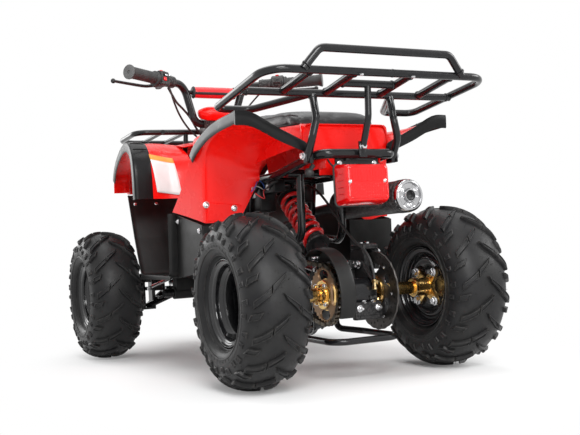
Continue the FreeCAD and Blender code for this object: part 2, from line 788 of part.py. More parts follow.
def brake_cable():
    """Cable from the caliper's lever forward along the frame to a stop at the steering head."""
    x, y = CABLE_END
    z = WHEEL_Z + CABLE_RISE
    return tube([
        vec(x, y, z + 2 * SEAT_GAP),
        vec(x + 4, y, z + 50),
        vec(x + 90, -36, z + 92),
        vec(x + 160, -36, z + 160),
        vec(x + 250, -40, 428),
        vec(352, -69, 437),
        vec(500, -68, 441),
        vec(640, -69, 436),
        vec(716, -62, 478),
        vec(742, -50, 508),
        vec(762.6, -50, 508),
    ], CABLE_D, 60)


def brake_caliper():
    top = WHEEL_Z + 46
    body = Part.makeBox(62, 40, 46, vec(12, DISC_Y - 20, top))
    slot = Part.makeBox(80, DISC_SHEET + 8, 60, vec(4, DISC_Y - DISC_SHEET / 2 - 4, top - 10))
    bridge = Part.makeBox(62, 40, 12, vec(12, DISC_Y - 20, top + 44))
    stay = Part.makeBox(26, 22, 20, vec(40, DISC_Y + 19, top + 4))
    clamp = fuse([body.cut(slot), bridge, stay])
    foot = Part.makeBox(20, 32, 36, vec(46, DISC_Y + 19, WHEEL_Z + 24))
    x, y = CABLE_END
    z = WHEEL_Z + CABLE_RISE
    lever = rod(vec(24, DISC_Y + 17, top + 12), vec(x, y, z - 8), 9)
    eye = Part.makeCylinder(6, 16, vec(x, y, z - 16), vec(0, 0, 1))
    return fuse([clamp, foot, lever, eye]).cut(mirrored(swing_tube(2 * SEAT_GAP)))


def damper(low, high, spring_d, wire_d, turns, body_d):
    """Damper and its coil spring; two solids that don't touch."""
    axis = high - low
    length = axis.Length
    along = axis.normalize()
    side = vec(0, 1, 0)
    eye_w = 30.0
    eyes = []
    for at in (low, high):
        eyes.append(Part.makeCylinder(13, eye_w, at - side * eye_w / 2, side))
    shaft = rod(low + along * 8, high - along * 8, 12)
    body = rod(low + along * 12, low + along * (length * 0.45), body_d)
    seat_low = low + along * 46
    seat_high = high - along * 30
    perch_low = Part.makeCylinder(spring_d / 2, 4, seat_low, along)
    perch_high = Part.makeCylinder(spring_d / 2, 4, seat_high, along)
    solid = fuse(eyes + [shaft, body, perch_low, perch_high])
    for at in (low, high):
        solid = solid.cut(Part.makeCylinder(5 + SEAT_GAP, eye_w + 4, at - side * (eye_w / 2 + 2), side))
    room = (seat_high - seat_low).Length - 4 - 2 * SEAT_GAP
    pitch = (room - wire_d) / turns
    radius = (spring_d - wire_d) / 2
    helix = Part.makeHelix(pitch, pitch * turns, radius)
    ring = Part.Wire(Part.makeCircle(wire_d / 2, vec(radius, 0, 0), vec(0, 1, 0)))
    coil = Part.Wire(helix).makePipeShell([ring], True, True)
    coil.translate(vec(0, 0, wire_d / 2))
    turn = FreeCAD.Rotation(vec(0, 0, 1), along)
    coil.Placement = FreeCAD.Placement(seat_low + along * (4 + SEAT_GAP), turn).multiply(coil.Placement)
    return Part.makeCompound([solid, coil])


def rear_shock():
    return damper(vec(99, 0, 256), vec(SHOCK_TOP_X, 0, SHOCK_TOP_Z), 58, 10, 7, 34)


def front_shock(side):
    low = vec(*FRONT_SHOCK_LOW)
    high = vec(FRONT_SHOCK_TOP_X, FRONT_SHOCK_TOP_Y, UPPER_RAIL_Z + 20)
    return sided(damper(low, high, 48, 8, 9, 28), side)


def a_arm(side):
    """Front suspension arm: two tubes, bushes and a fork for the kingpin."""
    pieces = []
    width = BUSH_WIDTH - 2 * SEAT_GAP
    for x in ARM_PIVOTS:
        at = vec(x - width / 2, ARM_PIVOT_Y, ARM_PIVOT_Z)
        bush = Part.makeCylinder(9.5, width, at, vec(1, 0, 0))
        pieces.append(rod(vec(x, ARM_PIVOT_Y + 8, ARM_PIVOT_Z - 2), vec(WHEELBASE, KINGPIN_Y - 22, 138), 18))
        pieces.append(bush)
    fork_y = KINGPIN_Y - 40
    for z in (128, 222):
        pieces.append(Part.makeBox(34, 56, 6, vec(WHEELBASE - 17, fork_y, z)))
    pieces.append(Part.makeBox(34, 10, 100, vec(WHEELBASE - 17, fork_y, 128)))
    pieces.append(rod(vec(WHEELBASE, KINGPIN_Y, 124), vec(WHEELBASE, KINGPIN_Y, 232), KINGPIN_D))
    x, y, z = FRONT_SHOCK_LOW
    pieces.append(Part.makeBox(80, 38, 6, vec(x - 62, y - 19.5, z - 34)))
    for low in (y - 15 - SEAT_GAP - 4, y + 15 + SEAT_GAP):
        pieces.append(Part.makeBox(22, 4, 42, vec(x - 11, low, z - 34)))
    pieces.append(rod(vec(x, y - 19.3, z), vec(x, y + 19.3, z), 10))
    arm = fuse(pieces)
    for x in ARM_PIVOTS:
        bore_at = vec(x - 30, ARM_PIVOT_Y, ARM_PIVOT_Z)
        arm = arm.cut(Part.makeCylinder(5 + SEAT_GAP, 60, bore_at, vec(1, 0, 0)))
    return sided(arm, side)


def knuckle(side):
    """Steering knuckle: kingpin sleeve, stub axle, brake plate and steering arm."""
    gap = SEAT_GAP
    sleeve = rod(vec(WHEELBASE, KINGPIN_Y, 134 + gap), vec(WHEELBASE, KINGPIN_Y, 222 - gap), 30)
    stub = rod(vec(WHEELBASE, KINGPIN_Y + 5, WHEEL_Z), vec(WHEELBASE, STUB_END, WHEEL_Z), STUB_D)
    block = Part.makeBox(30, 26, 40, vec(WHEELBASE - 15, KINGPIN_Y + 6, WHEEL_Z - 20))
    shield = ring_y(WHEELBASE, 236, 243, WHEEL_Z, 52, 0)
    arm = tube([
        vec(WHEELBASE - 8, KINGPIN_Y + 4, 213),
        vec(WHEELBASE - 30, KINGPIN_Y + 2, 213),
        vec(WHEELBASE - 62, KINGPIN_Y - 4, 213),
    ], 10, 20)
    tip = Part.makeCylinder(11, 10, vec(WHEELBASE - 62, KINGPIN_Y - 4, 208), vec(0, 0, 1))
    body = fuse([sleeve, stub, block, shield, arm, tip])
    body = body.cut(rod(vec(WHEELBASE, KINGPIN_Y, 100), vec(WHEELBASE, KINGPIN_Y, 260), KINGPIN_D + 2 * gap))
    return sided(body, side)


# Steering

def drop_arm_frame():
    """Foot of the column: its clamp point, the column's direction and the arm's."""
    low, along = column_axis()
    rear = vec(0, 1, 0).cross(along).normalize()
    return low + along * 18, along, rear * (-1 if rear.x > 0 else 1)


def pitman_pin(side):
    """Pin of the drop arm that one tie rod turns on."""
    base, along, rear = drop_arm_frame()
    return base + rear * 58 + vec(0, side * 24, 0)


def steering_column():
    low, along = column_axis()
    start = low - along * 40
    top = vec(COLUMN_TOP_X, 0, COLUMN_TOP_Z)
    shaft = Part.makeCylinder(COLUMN_D / 2, (top - start).Length, start, along)
    across = vec(0, 1, 0)
    base, along, rear = drop_arm_frame()
    outline = [
        base + across * 18 - rear * 16,
        base + across * 38 + rear * 50,
        base + across * 38 + rear * 70,
        base - across * 38 + rear * 70,
        base - across * 38 + rear * 50,
        base - across * 18 - rear * 16,
    ]
    arm = plate(outline, 6, along)
    pins = []
    for side in (1, -1):
        pins.append(Part.makeCylinder(5, 22, pitman_pin(side) - along * 20, along))
    clamp = Part.makeBox(44, 70, 46)
    clamp.translate(vec(-22, -35, -30))
    turn = FreeCAD.Rotation(vec(0, 0, 1), along)
    clamp.Placement = FreeCAD.Placement(vec(COLUMN_TOP_X, 0, COLUMN_TOP_Z), turn).multiply(clamp.Placement)
    column = fuse([shaft, arm, clamp] + pins)
    return column.cut(handlebar_tube(2 * SEAT_GAP))


def bar_points():
    bend_x, bend_y, bend_z = BAR_BEND
    return [
        vec(GRIP_X, GRIP_END_Y, GRIP_Z),
        vec(bend_x, bend_y, bend_z),
        vec(COLUMN_TOP_X, BAR_CLAMP_Y, COLUMN_TOP_Z),
        vec(COLUMN_TOP_X, -BAR_CLAMP_Y, COLUMN_TOP_Z),
        vec(bend_x, -bend_y, bend_z),
        vec(GRIP_X, -GRIP_END_Y, GRIP_Z),
    ]


def handlebar_tube(grow=0.0):
    return tube(bar_points(), BAR_D + grow, [40, 30, 30, 40])


def crossbar_end():
    """Point where the cross bar meets the left riser of the handlebar."""
    low = bar_points()[2]
    high = bar_points()[1]
    return low + (high - low) * ((CROSSBAR_Z - low.z) / (high.z - low.z))


def handlebar():
    end = crossbar_end()
    cross = rod(vec(end.x, -end.y, end.z), end, CROSSBAR_D)
    return fuse([handlebar_tube(), cross])


def grip_axis(side):
    outer = vec(GRIP_X, side * GRIP_END_Y, GRIP_Z)
    inner = vec(BAR_BEND[0], side * BAR_BEND[1], BAR_BEND[2])
    return outer, (inner - outer).normalize()


def grips():
    solids = []
    for side in (1, -1):
        outer, along = grip_axis(side)
        body = Part.makeCylinder(16, GRIP_LENGTH, outer - along * 3, along)
        collar = Part.makeCone(20, 16, 8, outer - along * 3, along)
        bore = Part.makeCylinder(BAR_D / 2 + SEAT_GAP, GRIP_LENGTH + 10, outer - along * SEAT_GAP, along)
        solids.append(body.fuse(collar).cut(bore))
    return Part.makeCompound(solids)


def controls(side):
    """Switch box or throttle body, with the lever perch and lever."""
    outer, along = grip_axis(side)
    start = GRIP_LENGTH - 3 + SEAT_GAP
    if side > 0:
        box = Part.makeBox(42, 44, 36)
        box.translate(vec(-21, -22, 0))
    else:
        box = Part.makeCylinder(24, 36)
    turn = FreeCAD.Rotation(vec(0, 0, 1), along)
    box.Placement = FreeCAD.Placement(outer + along * start, turn).multiply(box.Placement)
    perch = Part.makeCylinder(17, 40, outer + along * (start + 34), along)
    forward = along.cross(vec(0, 0, side)).normalize() * -1 - vec(0, 0, 0.12)
    pivot = outer + along * (start + 54) + forward * 38
    link = rod(outer + along * (start + 58) + forward * 13, pivot, 14)
    tip = outer + along * 22 + forward * 76
    lever = tube([pivot, pivot + forward * 26 - along * 24, tip], 9, 18)
    ball = Part.makeSphere(7, tip)
    unit = fuse([box, perch, link, lever, ball])
    return unit.cut(rod(outer, outer + along * 205, BAR_D + 2 * SEAT_GAP))


def crossbar_pad():
    end = crossbar_end()
    half = end.y - BAR_D / 2 - 8
    pad = Part.makeCylinder(18, 2 * half, vec(end.x, -half, end.z), vec(0, 1, 0))
    return pad.cut(rod(vec(end.x, -end.y, end.z), end, CROSSBAR_D + 2 * SEAT_GAP))


def handlebar_cover():
    """Moulded cover that sits on the bar clamp."""
    sections = []
    for height, back, front, half in ((16 + SEAT_GAP, 28, 24, 42), (32, 34, 26, 50), (50, 24, 16, 38)):
        sections.append([
            vec(front, -half, height), vec(front, half, height), vec(0, half + 3, height),
            vec(-back, half - 8, height), vec(-back, 8 - half, height), vec(0, -half - 3, height),
        ])
    cover = skin_loft(sections)
    along = column_axis()[1]
    turn = FreeCAD.Rotation(vec(0, 0, 1), along)
    cover.Placement = FreeCAD.Placement(vec(COLUMN_TOP_X, 0, COLUMN_TOP_Z), turn)
    return cover


def tie_rod(side):
    """Tie rod with an eye on the drop arm pin; the outer eye stands clear of the knuckle."""
    along = column_axis()[1]
    inner = pitman_pin(side) - along * 8
    outer = vec(WHEELBASE - 62, side * (KINGPIN_Y - 4), 190)
    eye = Part.makeCylinder(10, 10, inner - along * 5, along)
    bar = rod(inner, outer, 10)
    end = Part.makeCylinder(11, 10, outer - vec(0, 0, 5), vec(0, 0, 1))
    solid = fuse([eye, bar, end])
    return solid.cut(Part.makeCylinder(5 + SEAT_GAP, 40, inner - along * 20, along))


# Engine, intake and exhaust

def cylinder_line():
    """Foot of the cylinder and the direction it leans in."""
    tilt = math.radians(12)
    return vec(596, -8, 268), vec(math.cos(tilt), 0, math.sin(tilt))


def cylinder_head(grow=0.0):
    base, along = cylinder_line()
    half = 42 + grow
    head = Part.makeBox(2 * half, 2 * half, 30 + 2 * grow)
    head.translate(vec(-half, -half, -grow))
    turn = FreeCAD.Rotation(vec(0, 0, 1), along)
    head.Placement = FreeCAD.Placement(base + along * 84, turn).multiply(head.Placement)
    return head


def engine():
    case = Part.makeBox(230, 108, 128, vec(372, -62, ENGINE_CASE_Z))
    case = case.makeFillet(22, [e for e in case.Edges if abs(e.tangentAt(e.FirstParameter).y) > 0.9])
    generator = ring_y(500, 40, 70, 262, 60, 0)
    output = ring_y(DRIVE_X, 40, SPROCKET_Y - CHAIN_WIDTH / 2 - 1, DRIVE_Z, 26, 0)
    drive = ring_y(DRIVE_X, 50, SPROCKET_Y + 4, DRIVE_Z, DRIVE_R - CHAIN_HEIGHT / 2 - 1.0, 0)
    clutch = ring_y(470, -72, -50, 258, 58, 0)
    base, along = cylinder_line()
    barrel = Part.makeCylinder(34, 104, base, along)
    fins = []
    for i in range(8):
        fin = Part.makeBox(98, 92, 3.2)
        fin.translate(vec(-49, -46, 0))
        turn = FreeCAD.Rotation(vec(0, 0, 1), along)
        fin.Placement = FreeCAD.Placement(base + along * (10 + 9 * i), turn).multiply(fin.Placement)
        fins.append(fin)
    foot_z = ENGINE_BAR_Z + ENGINE_BAR_D / 2 + SEAT_GAP
    foot_height = ENGINE_CASE_Z + 5 - foot_z
    mounts = [Part.makeBox(16, 60, foot_height, vec(x - 8, -30, foot_z)) for x in ENGINE_MOUNTS]
    return fuse([case, generator, output, drive, clutch, barrel, cylinder_head()] + fins + mounts)


def intake():
    """Inlet pipe, carburettor and pod air filter above the engine."""
    pipe = tube([
        vec(684, -8, 322),
        vec(672, -8, 376),
        vec(600, -8, 384),
    ], 26, 20)
    flange = Part.makeBox(38, 40, 12, vec(666, -28, 326))
    body = rod(vec(604, -8, 384), vec(548, -8, 384), 42)
    bowl = Part.makeCylinder(20, 34, vec(574, -8, 344), vec(0, 0, 1))
    filter_body = rod(vec(550, -8, 384), vec(470, -8, 390), 70)
    return fuse([pipe, flange, body, bowl, filter_body]).cut(cylinder_head(SEAT_GAP))


def exhaust():
    """Header pipe and silencer along the right side."""
    pipe = tube([
        vec(676, -54.3, 280),
        vec(676, -112, 282),
        vec(600, -114, 330),
        vec(330, -112, 372),
        vec(180, -102, 378),
    ], 24, [26, 60, 60])
    body = rod(vec(190, -102, 378), vec(-84, -102, 379), 70)
    stay = Part.makeBox(20, 18, 30, vec(140, -104, 408))
    pipe = fuse([pipe, body, stay])
    for piece in frame_tubes(2 * SEAT_GAP):
        pipe = pipe.cut(mirrored(piece))
    return pipe


def muffler_cap():
    face = -84 - SEAT_GAP
    cap = rod(vec(face, -102, 379), vec(face - 14, -102, 379), 68)
    mouth = rod(vec(face - 6, -102, 379), vec(face - 20, -102, 379), 22)
    return cap.cut(mouth)


# Bodywork

def base_z(x):
    """Height of the body's spine under the seat."""
    stations = SEAT_BASE
    for (x0, z0), (x1, z1) in zip(stations, stations[1:]):
        if x <= x1:
            return z0 + (z1 - z0) * (x - x0) / (x1 - x0)
    return stations[-1][1]


def seat():
    sections = []
    for x, half, thick in ((20, 94, 18), (60, 108, 31), (160, 112, 34), (250, 98, 32), (400, 66, 24)):
        low = base_z(x) + SEAT_GAP
        top = low + thick
        sections.append([
            vec(x, -half, low), vec(x, half, low), vec(x, half, top - 10),
            vec(x, half - 18, top), vec(x, -half + 18, top), vec(x, -half, top - 10),
        ])
    return skin_loft(sections)


def well_points(y, drop):
    """Side line of the rear wheel arch, from the front wall over to the rear edge."""
    return [
        vec(212, y, 348),
        vec(208, y, 432 - drop * 0.2),
        vec(200, y, 486 - drop * 0.5),
        vec(180, y, 517 - drop * 0.8),
        vec(130, y, 535 - drop),
        vec(60, y, 545 - drop * 1.1),
        vec(-22, y, 552 - drop * 1.3),
    ]


def well_edge(y):
    """Outer edge of the rear arch, which stands out in front of and above its wall."""
    return [
        vec(380, y, 384),
        vec(306, y, 436),
        vec(264, y, 476),
        vec(226, y, 512),
        vec(156, y, 538),
        vec(80, y, 551),
        vec(-22, y, 556),
    ]


def clear_of_frame(shape):
    """Cut a piece back so that it seats on the frame's tubes."""
    for piece in frame_tubes(2 * SEAT_GAP):
        shape = shape.cut(piece).cut(mirrored(piece))
    return shape


def rear_bodywork():
    """One moulding: a hump under the seat, two wheel arches and side panels."""
    across = vec(0, 1, 0)
    lines = [well_edge(ARCH_Y)]
    for y, drop in ((ARCH_Y - 17, 0), (222, 0), (165, 24), (108, 44)):
        lines.append(well_points(y, drop))
    lines[-1][0] = vec(204, 108, 446)
    lines[-1][1] = vec(199, 108, 450)
    arch = skin_loft([profile_wall(smooth_line(line), across, -SKIN) for line in lines])
    hump = []
    for x, half, low in ((-20, 100, 494), (60, 112, 488), (160, 116, 480), (250, 112, 470)):
        top = base_z(x)
        points = [
            vec(x, half + 6, low), vec(x, half, top - 8), vec(x, half - 10, top),
            vec(x, -half + 10, top), vec(x, -half, top - 8), vec(x, -half - 6, low),
        ]
        hump.append(profile_wall(points, vec(1, 0, 0), -SKIN))
    centre = skin_loft(hump)
    tail = Part.makeBox(SKIN, 200, 44, vec(-20, -100, 495))
    lug = Part.makeBox(24, 38, 50, vec(66, RAIL_Y, UPPER_RAIL_Z + 2))
    return clear_of_frame(fuse(both(arch) + [centre, tail] + both(lug)))


def lifted(line, across, height):
    """A line in a plane, moved square to itself."""
    return profile_wall(line, across, height)[len(line):][::-1]


def turned_lip(line, across, depth, lift):
    """Lip outside an arch's edge, turned in towards the wheel."""
    outline = profile_wall(line, across, -math.copysign(depth, lift))
    edge = Part.Face(closed(outline)).extrude(vec(0, MOULDING_SHEET, 0))
    edge.translate(vec(0, SEAT_GAP, 0))
    return edge


def rear_flares():
    """Soft edge mouldings along the outer and the rear edges of the rear wheel arches."""
    across = vec(0, 1, 0)
    rise = -SKIN - SEAT_GAP
    first = 8
    walls = []
    outer_y = ARCH_Y + SEAT_GAP + MOULDING_SHEET
    for raw in (well_edge(outer_y), well_edge(ARCH_Y), well_points(ARCH_Y - 17, 0)):
        line = lifted(smooth_line(raw), across, rise)[first:]
        walls.append(profile_wall(line, across, -MOULDING_SHEET))
    inner = lifted(smooth_line(well_points(228, 0)), across, rise)[first:]
    walls.append(profile_wall(inner, across, -MOULDING_SHEET))
    edge = lifted(smooth_line(well_edge(ARCH_Y)), across, rise)[first:]
    strip = skin_loft(walls).fuse(turned_lip(edge, across, 24, rise))
    corner = edge[-1]
    rear_x = corner.x - SEAT_GAP
    lip = [(ARCH_Y + SEAT_GAP + MOULDING_SHEET, 0), (ARCH_Y - 34, -3), (165, -33), (108, -60), (98, -68)]
    top = [vec(rear_x, y, corner.z + MOULDING_SHEET + fall) for y, fall in lip]
    low = [vec(rear_x, p.y, p.z - depth) for p, depth in zip(top, (30, 30, 27, 22, 10))]
    band = Part.Face(closed(top + low[::-1])).extrude(vec(-2 * MOULDING_SHEET, 0, 0))
    return Part.makeCompound(both(strip.fuse(band)))


def nose_points(y, drop, back):
    """Side line of the front wheel arch, from the rear edge over to the nose."""
    return [
        vec(600 - back, y, 432),
        vec(612 - back, y, 505),
        vec(640 - back, y, 556 - drop * 0.4),
        vec(706, y, 596 - drop),
        vec(782, y, 600 - drop),
        vec(860, y, 586 - drop),
        vec(930, y, 562 - drop),
        vec(985, y, 530 - drop * 0.5),
        vec(1012, y, 476),
    ]


def nose_edge(inset):
    """Outer edge of the front arch, in a plane that closes in towards the nose."""
    line = [
        (600, 432), (605, 505), (630, 558), (692, 590), (775, 592),
        (865, 572), (925, 545), (955, 514), (962, 476),
    ]
    return [vec(x, NOSE_Y - inset - NOSE_TAPER * (x - 600), z) for x, z in line]


def tank_cover():
    """Cover between the seat and the steering head, on lugs at the upper rails."""
    tank = []
    for x, half, low in ((254, 104, 476), (400, 104, 462), (520, 108, 452), (618, 108, 452)):
        top = base_z(x)
        points = [
            vec(x, half + 14, low), vec(x, half, top - 22), vec(x, half - 26, top),
            vec(x, -half + 26, top), vec(x, -half, top - 22), vec(x, -half - 14, low),
        ]
        tank.append(profile_wall(points, vec(1, 0, 0), -SKIN))
    cover = skin_loft(tank)
    lug = Part.makeBox(24, 43, 24, vec(424, RAIL_Y - 8, UPPER_RAIL_Z + 4))
    return clear_of_frame(fuse([cover] + both(lug)))


def front_bodywork():
    """Front fender moulding: two arches, the hood between them and the nose."""
    across = vec(0, 1, 0)
    slant = vec(NOSE_TAPER, 1, 0).normalize()
    sections = [profile_wall(smooth_line(nose_edge(inset), 2), slant, -SKIN) for inset in (0, 48)]
    for y, drop, back in ((182, 4, 0), (126, 8, 22)):
        sections.append(profile_wall(smooth_line(nose_points(y, drop, back), 2), across, -SKIN))
    fender = skin_loft(sections)
    hood = []
    for x, half, top in ((622, 132, 588), (700, 132, 600), (860, 132, 594), (1000, 132, 530)):
        points = [
            vec(x, half, top - 14), vec(x, half * 0.5, top),
            vec(x, -half * 0.5, top), vec(x, -half, top - 14),
        ]
        hood.append(profile_wall(points, vec(1, 0, 0), -SKIN))
    centre = skin_loft(hood)
    nose = plate([
        vec(LAMP_X, 126, 516), vec(LAMP_X, 63, 530), vec(LAMP_X, -63, 530), vec(LAMP_X, -126, 516),
        vec(LAMP_X, -126, 440), vec(LAMP_X, -70, 420), vec(LAMP_X, 70, 420), vec(LAMP_X, 126, 440),
    ], SKIN, vec(-1, 0, 0))
    lug = Part.makeBox(24, 58, 16, vec(800, RAIL_Y - 8, UPPER_RAIL_Z + 50))
    post = Part.makeBox(24, 8, 88, vec(800, 127, UPPER_RAIL_Z + 50))
    low, along = column_axis()
    hole = Part.makeCylinder(34, 200, low + along * 250, along)
    body = clear_of_frame(fuse(both(fender) + [centre, nose] + both(lug) + both(post)).cut(hole))
    cutters = both(lamp(2 * SEAT_GAP)) + front_rack_legs(4.0)
    for cutter in cutters:
        body = body.cut(cutter)
    return body


def front_flares():
    """Soft edge mouldings along the outer edges of the front wheel arches."""
    slant = vec(NOSE_TAPER, 1, 0).normalize()
    edge = lifted(smooth_line(nose_edge(0), 2), slant, SEAT_GAP)[:-2]
    face = Part.Face(closed(profile_wall(edge, slant, MOULDING_SHEET)))
    width = 46
    strip = face.extrude(vec(0, width + SEAT_GAP + MOULDING_SHEET, 0))
    strip.translate(vec(0, -width, 0))
    return Part.makeCompound(both(strip.fuse(turned_lip(edge, slant, 24, SEAT_GAP))))


def footwell(side):
    """Foot tray: tread, front and rear walls, inner wall and outer rear panel."""
    inner_y = 128.0
    outer_y = 272.0
    t = SKIN
    tray_front = WHEELBASE - 233
    line = [
        vec(WHEELBASE - 151, 0, 426),
        vec(WHEELBASE - 187, 0, 330),
        vec(tray_front, 0, TREAD_Z),
        vec(384, 0, TREAD_Z - 4),
        vec(376, 0, 380),
    ]
    wires = []
    for y in (inner_y, outer_y):
        wires.append(profile_wall([vec(p.x, y, p.z) for p in line], vec(0, 1, 0), -t))
    tray = skin_loft(wires)
    inner = plate([
        vec(tray_front + 26, inner_y, 292), vec(tray_front, inner_y, TREAD_Z),
        vec(384, inner_y, TREAD_Z - 4), vec(380, inner_y, 292),
    ], t, vec(0, 1, 0))
    rear = plate([
        vec(387, 246, TREAD_Z - 3), vec(379, 246, 376), vec(212, 246, 344), vec(204, 246, 240),
    ], t, vec(0, 1, 0))
    guard = plate([
        vec(210, 246 + t, 238), vec(206, 246 + t, 342), vec(206, inner_y, 342), vec(210, inner_y, 238),
    ], t, vec(1, 0, 0))
    tray = fuse([tray, inner, rear, guard])
    peg = rod(vec(PEG_X, 100, PEG_Z), vec(PEG_X, 260, PEG_Z), PEG_D + 2 * SEAT_GAP)
    lug = Part.makeBox(30, 60, TREAD_Z - 1 - PEG_Z, vec(PEG_X - 15, 160, PEG_Z))
    tray = fuse([tray, lug]).cut(peg)
    return sided(tray, side)


def lamp(grow=0.0):
    """Round headlamp: a bowl through the nose and a rim in front of it."""
    at = vec(LAMP_X - 46, LAMP_Y, LAMP_Z)
    bowl = Part.makeCone(20, LAMP_D / 2 - 5 + grow / 2, 46 + SEAT_GAP, at, vec(1, 0, 0))
    rim = Part.makeCylinder(LAMP_D / 2, 10, vec(LAMP_X + SEAT_GAP, LAMP_Y, LAMP_Z), vec(1, 0, 0))
    return bowl.fuse(rim)


def headlights():
    return Part.makeCompound(both(lamp()))


def tail_light():
    x = TAIL_LOOP_X + 8 - SEAT_GAP
    base = 363.0
    outline = [
        vec(x, -58, base), vec(x, 58, base), vec(x, 58, base + 86), vec(x, -58, base + 86),
    ]
    lens = plate(outline, 42, vec(-1, 0, 0))
    edges = [e for e in lens.Edges if e.BoundBox.XMax < x - 1]
    return lens.makeFillet(12, edges)


def write(name, shape):
    placed = shape.copy()
    placed.translate(vec(-MID_X, 0, 0))
    placed.exportStep("parts/" + name + ".step")
    print(name, len(placed.Solids), placed.isValid(), round(placed.Volume / 1000, 1))


def main():
    os.makedirs("parts", exist_ok=True)
    write("frame", frame())
    write("front_bumper", front_bumper())
    write("rear_rack", rear_rack())
    write("front_rack", front_rack())
    write("swingarm", swingarm())
    write("chain", chain())
    write("chain_guard", chain_guard())
    write("brake_caliper", brake_caliper())
    write("brake_cable", brake_cable())
    write("rear_shock", rear_shock())
    write("rear_axle", rear_axle())
    write("sprocket", sprocket())
    write("brake_disc", brake_disc())
    write("steering_column", steering_column())
    write("handlebar", handlebar())
    write("grips", grips())
    write("crossbar_pad", crossbar_pad())
    write("handlebar_cover", handlebar_cover())
    write("engine", engine())
    write("intake", intake())
    write("exhaust", exhaust())
    write("muffler_cap", muffler_cap())
    write("seat", seat())
    write("rear_bodywork", rear_bodywork())
    write("rear_flares", rear_flares())
    write("front_bodywork", front_bodywork())
    write("front_flares", front_flares())
    write("tank_cover", tank_cover())
    write("headlights", headlights())
    write("tail_light", tail_light())
    tyre_shape = tyre_form()
    for name, side in SIDES:
        write("front_shock_" + name, front_shock(side))
        write("a_arm_" + name, a_arm(side))
        write("knuckle_" + name, knuckle(side))
        write("controls_" + name, controls(side))
        write("tie_rod_" + name, tie_rod(side))
        write("footwell_" + name, footwell(side))
        write("front_rim_" + name, front_rim(side))
        write("front_tyre_" + name, tyre(tyre_shape, WHEELBASE, side * FRONT_Y))
        write("rear_rim_" + name, rear_rim(side))
        write("rear_tyre_" + name, tyre(tyre_shape, 0, side * REAR_Y))


main()
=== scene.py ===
import random
from math import acos, atan2, copysign, cos, exp, hypot, pi, radians, sin, sqrt, tan

import bmesh
import bpy
from mathutils import Matrix, Vector


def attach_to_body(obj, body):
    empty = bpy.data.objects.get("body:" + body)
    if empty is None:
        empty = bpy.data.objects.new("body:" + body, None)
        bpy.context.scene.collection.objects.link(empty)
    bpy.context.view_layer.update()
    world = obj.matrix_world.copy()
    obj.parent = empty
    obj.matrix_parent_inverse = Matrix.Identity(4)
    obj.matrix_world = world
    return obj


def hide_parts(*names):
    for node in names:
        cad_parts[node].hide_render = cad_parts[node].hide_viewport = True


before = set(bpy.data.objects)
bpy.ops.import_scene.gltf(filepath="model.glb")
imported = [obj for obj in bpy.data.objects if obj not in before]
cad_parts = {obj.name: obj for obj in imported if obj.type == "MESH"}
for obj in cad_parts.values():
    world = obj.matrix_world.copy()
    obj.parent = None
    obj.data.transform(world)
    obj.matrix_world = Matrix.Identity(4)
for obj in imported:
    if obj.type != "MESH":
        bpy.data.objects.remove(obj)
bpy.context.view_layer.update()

# Positions are in millimetres from the rear axle line, and go to metres in the part's frame.
MID_X, WHEEL_Z, WHEELBASE = 442.0, 180.0, 855.0
REAR_Y, FRONT_Y = 238.0, 310.0
X_AXIS, Y_AXIS, Z_AXIS = (1, 0, 0), (0, 1, 0), (0, 0, 1)
REARWARD = (-1, 0, 0)
ORIGIN, AXLE = (0, 0, 0), (0, 0, WHEEL_Z)
SIDES = ((1, "left"), (-1, "right"))


def V(x, y, z):
    return Vector((x, y, z))


# Steering column: a point on its line, and its direction
COLUMN_LOW, COLUMN = V(862, 0, 262), V(-0.33786, 0, 0.94119)


def out(p):
    return ((p[0] - MID_X) / 1000, p[1] / 1000, p[2] / 1000)


def clamp(x):
    return max(0, min(1, x))


def basis(axis):
    """An axis and two directions square to it."""
    axis = Vector(axis).normalized()
    a = axis.cross(V(0, 0, 1) if abs(axis.z) < 0.9 else V(1, 0, 0)).normalized()
    return axis, a, axis.cross(a)


def turns(n, start=0.0):
    """Angles of n even steps round a circle."""
    return [start + 2 * pi * i / n for i in range(n)]


def polar(r, angle, y=0.0, x=0.0, z=WHEEL_Z):
    """Point on a circle about a line along Y, the rear axle unless told otherwise."""
    return V(x + r * cos(angle), y, z + r * sin(angle))


def about_y(angle):
    return Matrix.Rotation(angle, 3, "Y")


def side_line(y, points):
    return [V(x, y, z) for x, z in points]


def cross_line(x, points):
    return [V(x, y, z) for y, z in points]


def mirrored(line, skip=0):
    """Line from the left edge to the middle, carried on to the right edge."""
    return line + [V(p.x, -p.y, p.z) for p in reversed(line[:len(line) - skip])]


# Objects and meshes

def add_object(name, data):
    o = bpy.data.objects.new(name, data)
    bpy.context.scene.collection.objects.link(o)
    return o


def new_mesh(name, verts, faces, merge=0.0, thin=0.0):
    """Mesh with its seams closed, slivers dropped and all faces turned outward."""
    mesh = bpy.data.meshes.new(name)
    mesh.from_pydata(verts, [], faces)
    bm = bmesh.new()
    bm.from_mesh(mesh)
    if merge:
        bmesh.ops.remove_doubles(bm, verts=bm.verts, dist=merge)
    if thin:
        bmesh.ops.dissolve_degenerate(bm, dist=thin, edges=bm.edges)
    bmesh.ops.recalc_face_normals(bm, faces=bm.faces)
    bm.to_mesh(mesh)
    bm.free()
    return mesh


def shade(mesh, angle):
    """Smooth shading, with edges above an angle kept sharp; 180 keeps none."""
    if angle < 180:
        mesh.set_sharp_from_angle(angle=radians(angle))
    for p in mesh.polygons:
        p.use_smooth = True


def attach(o, body, node, slot):
    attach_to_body(o, body)
    if node:
        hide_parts(node)


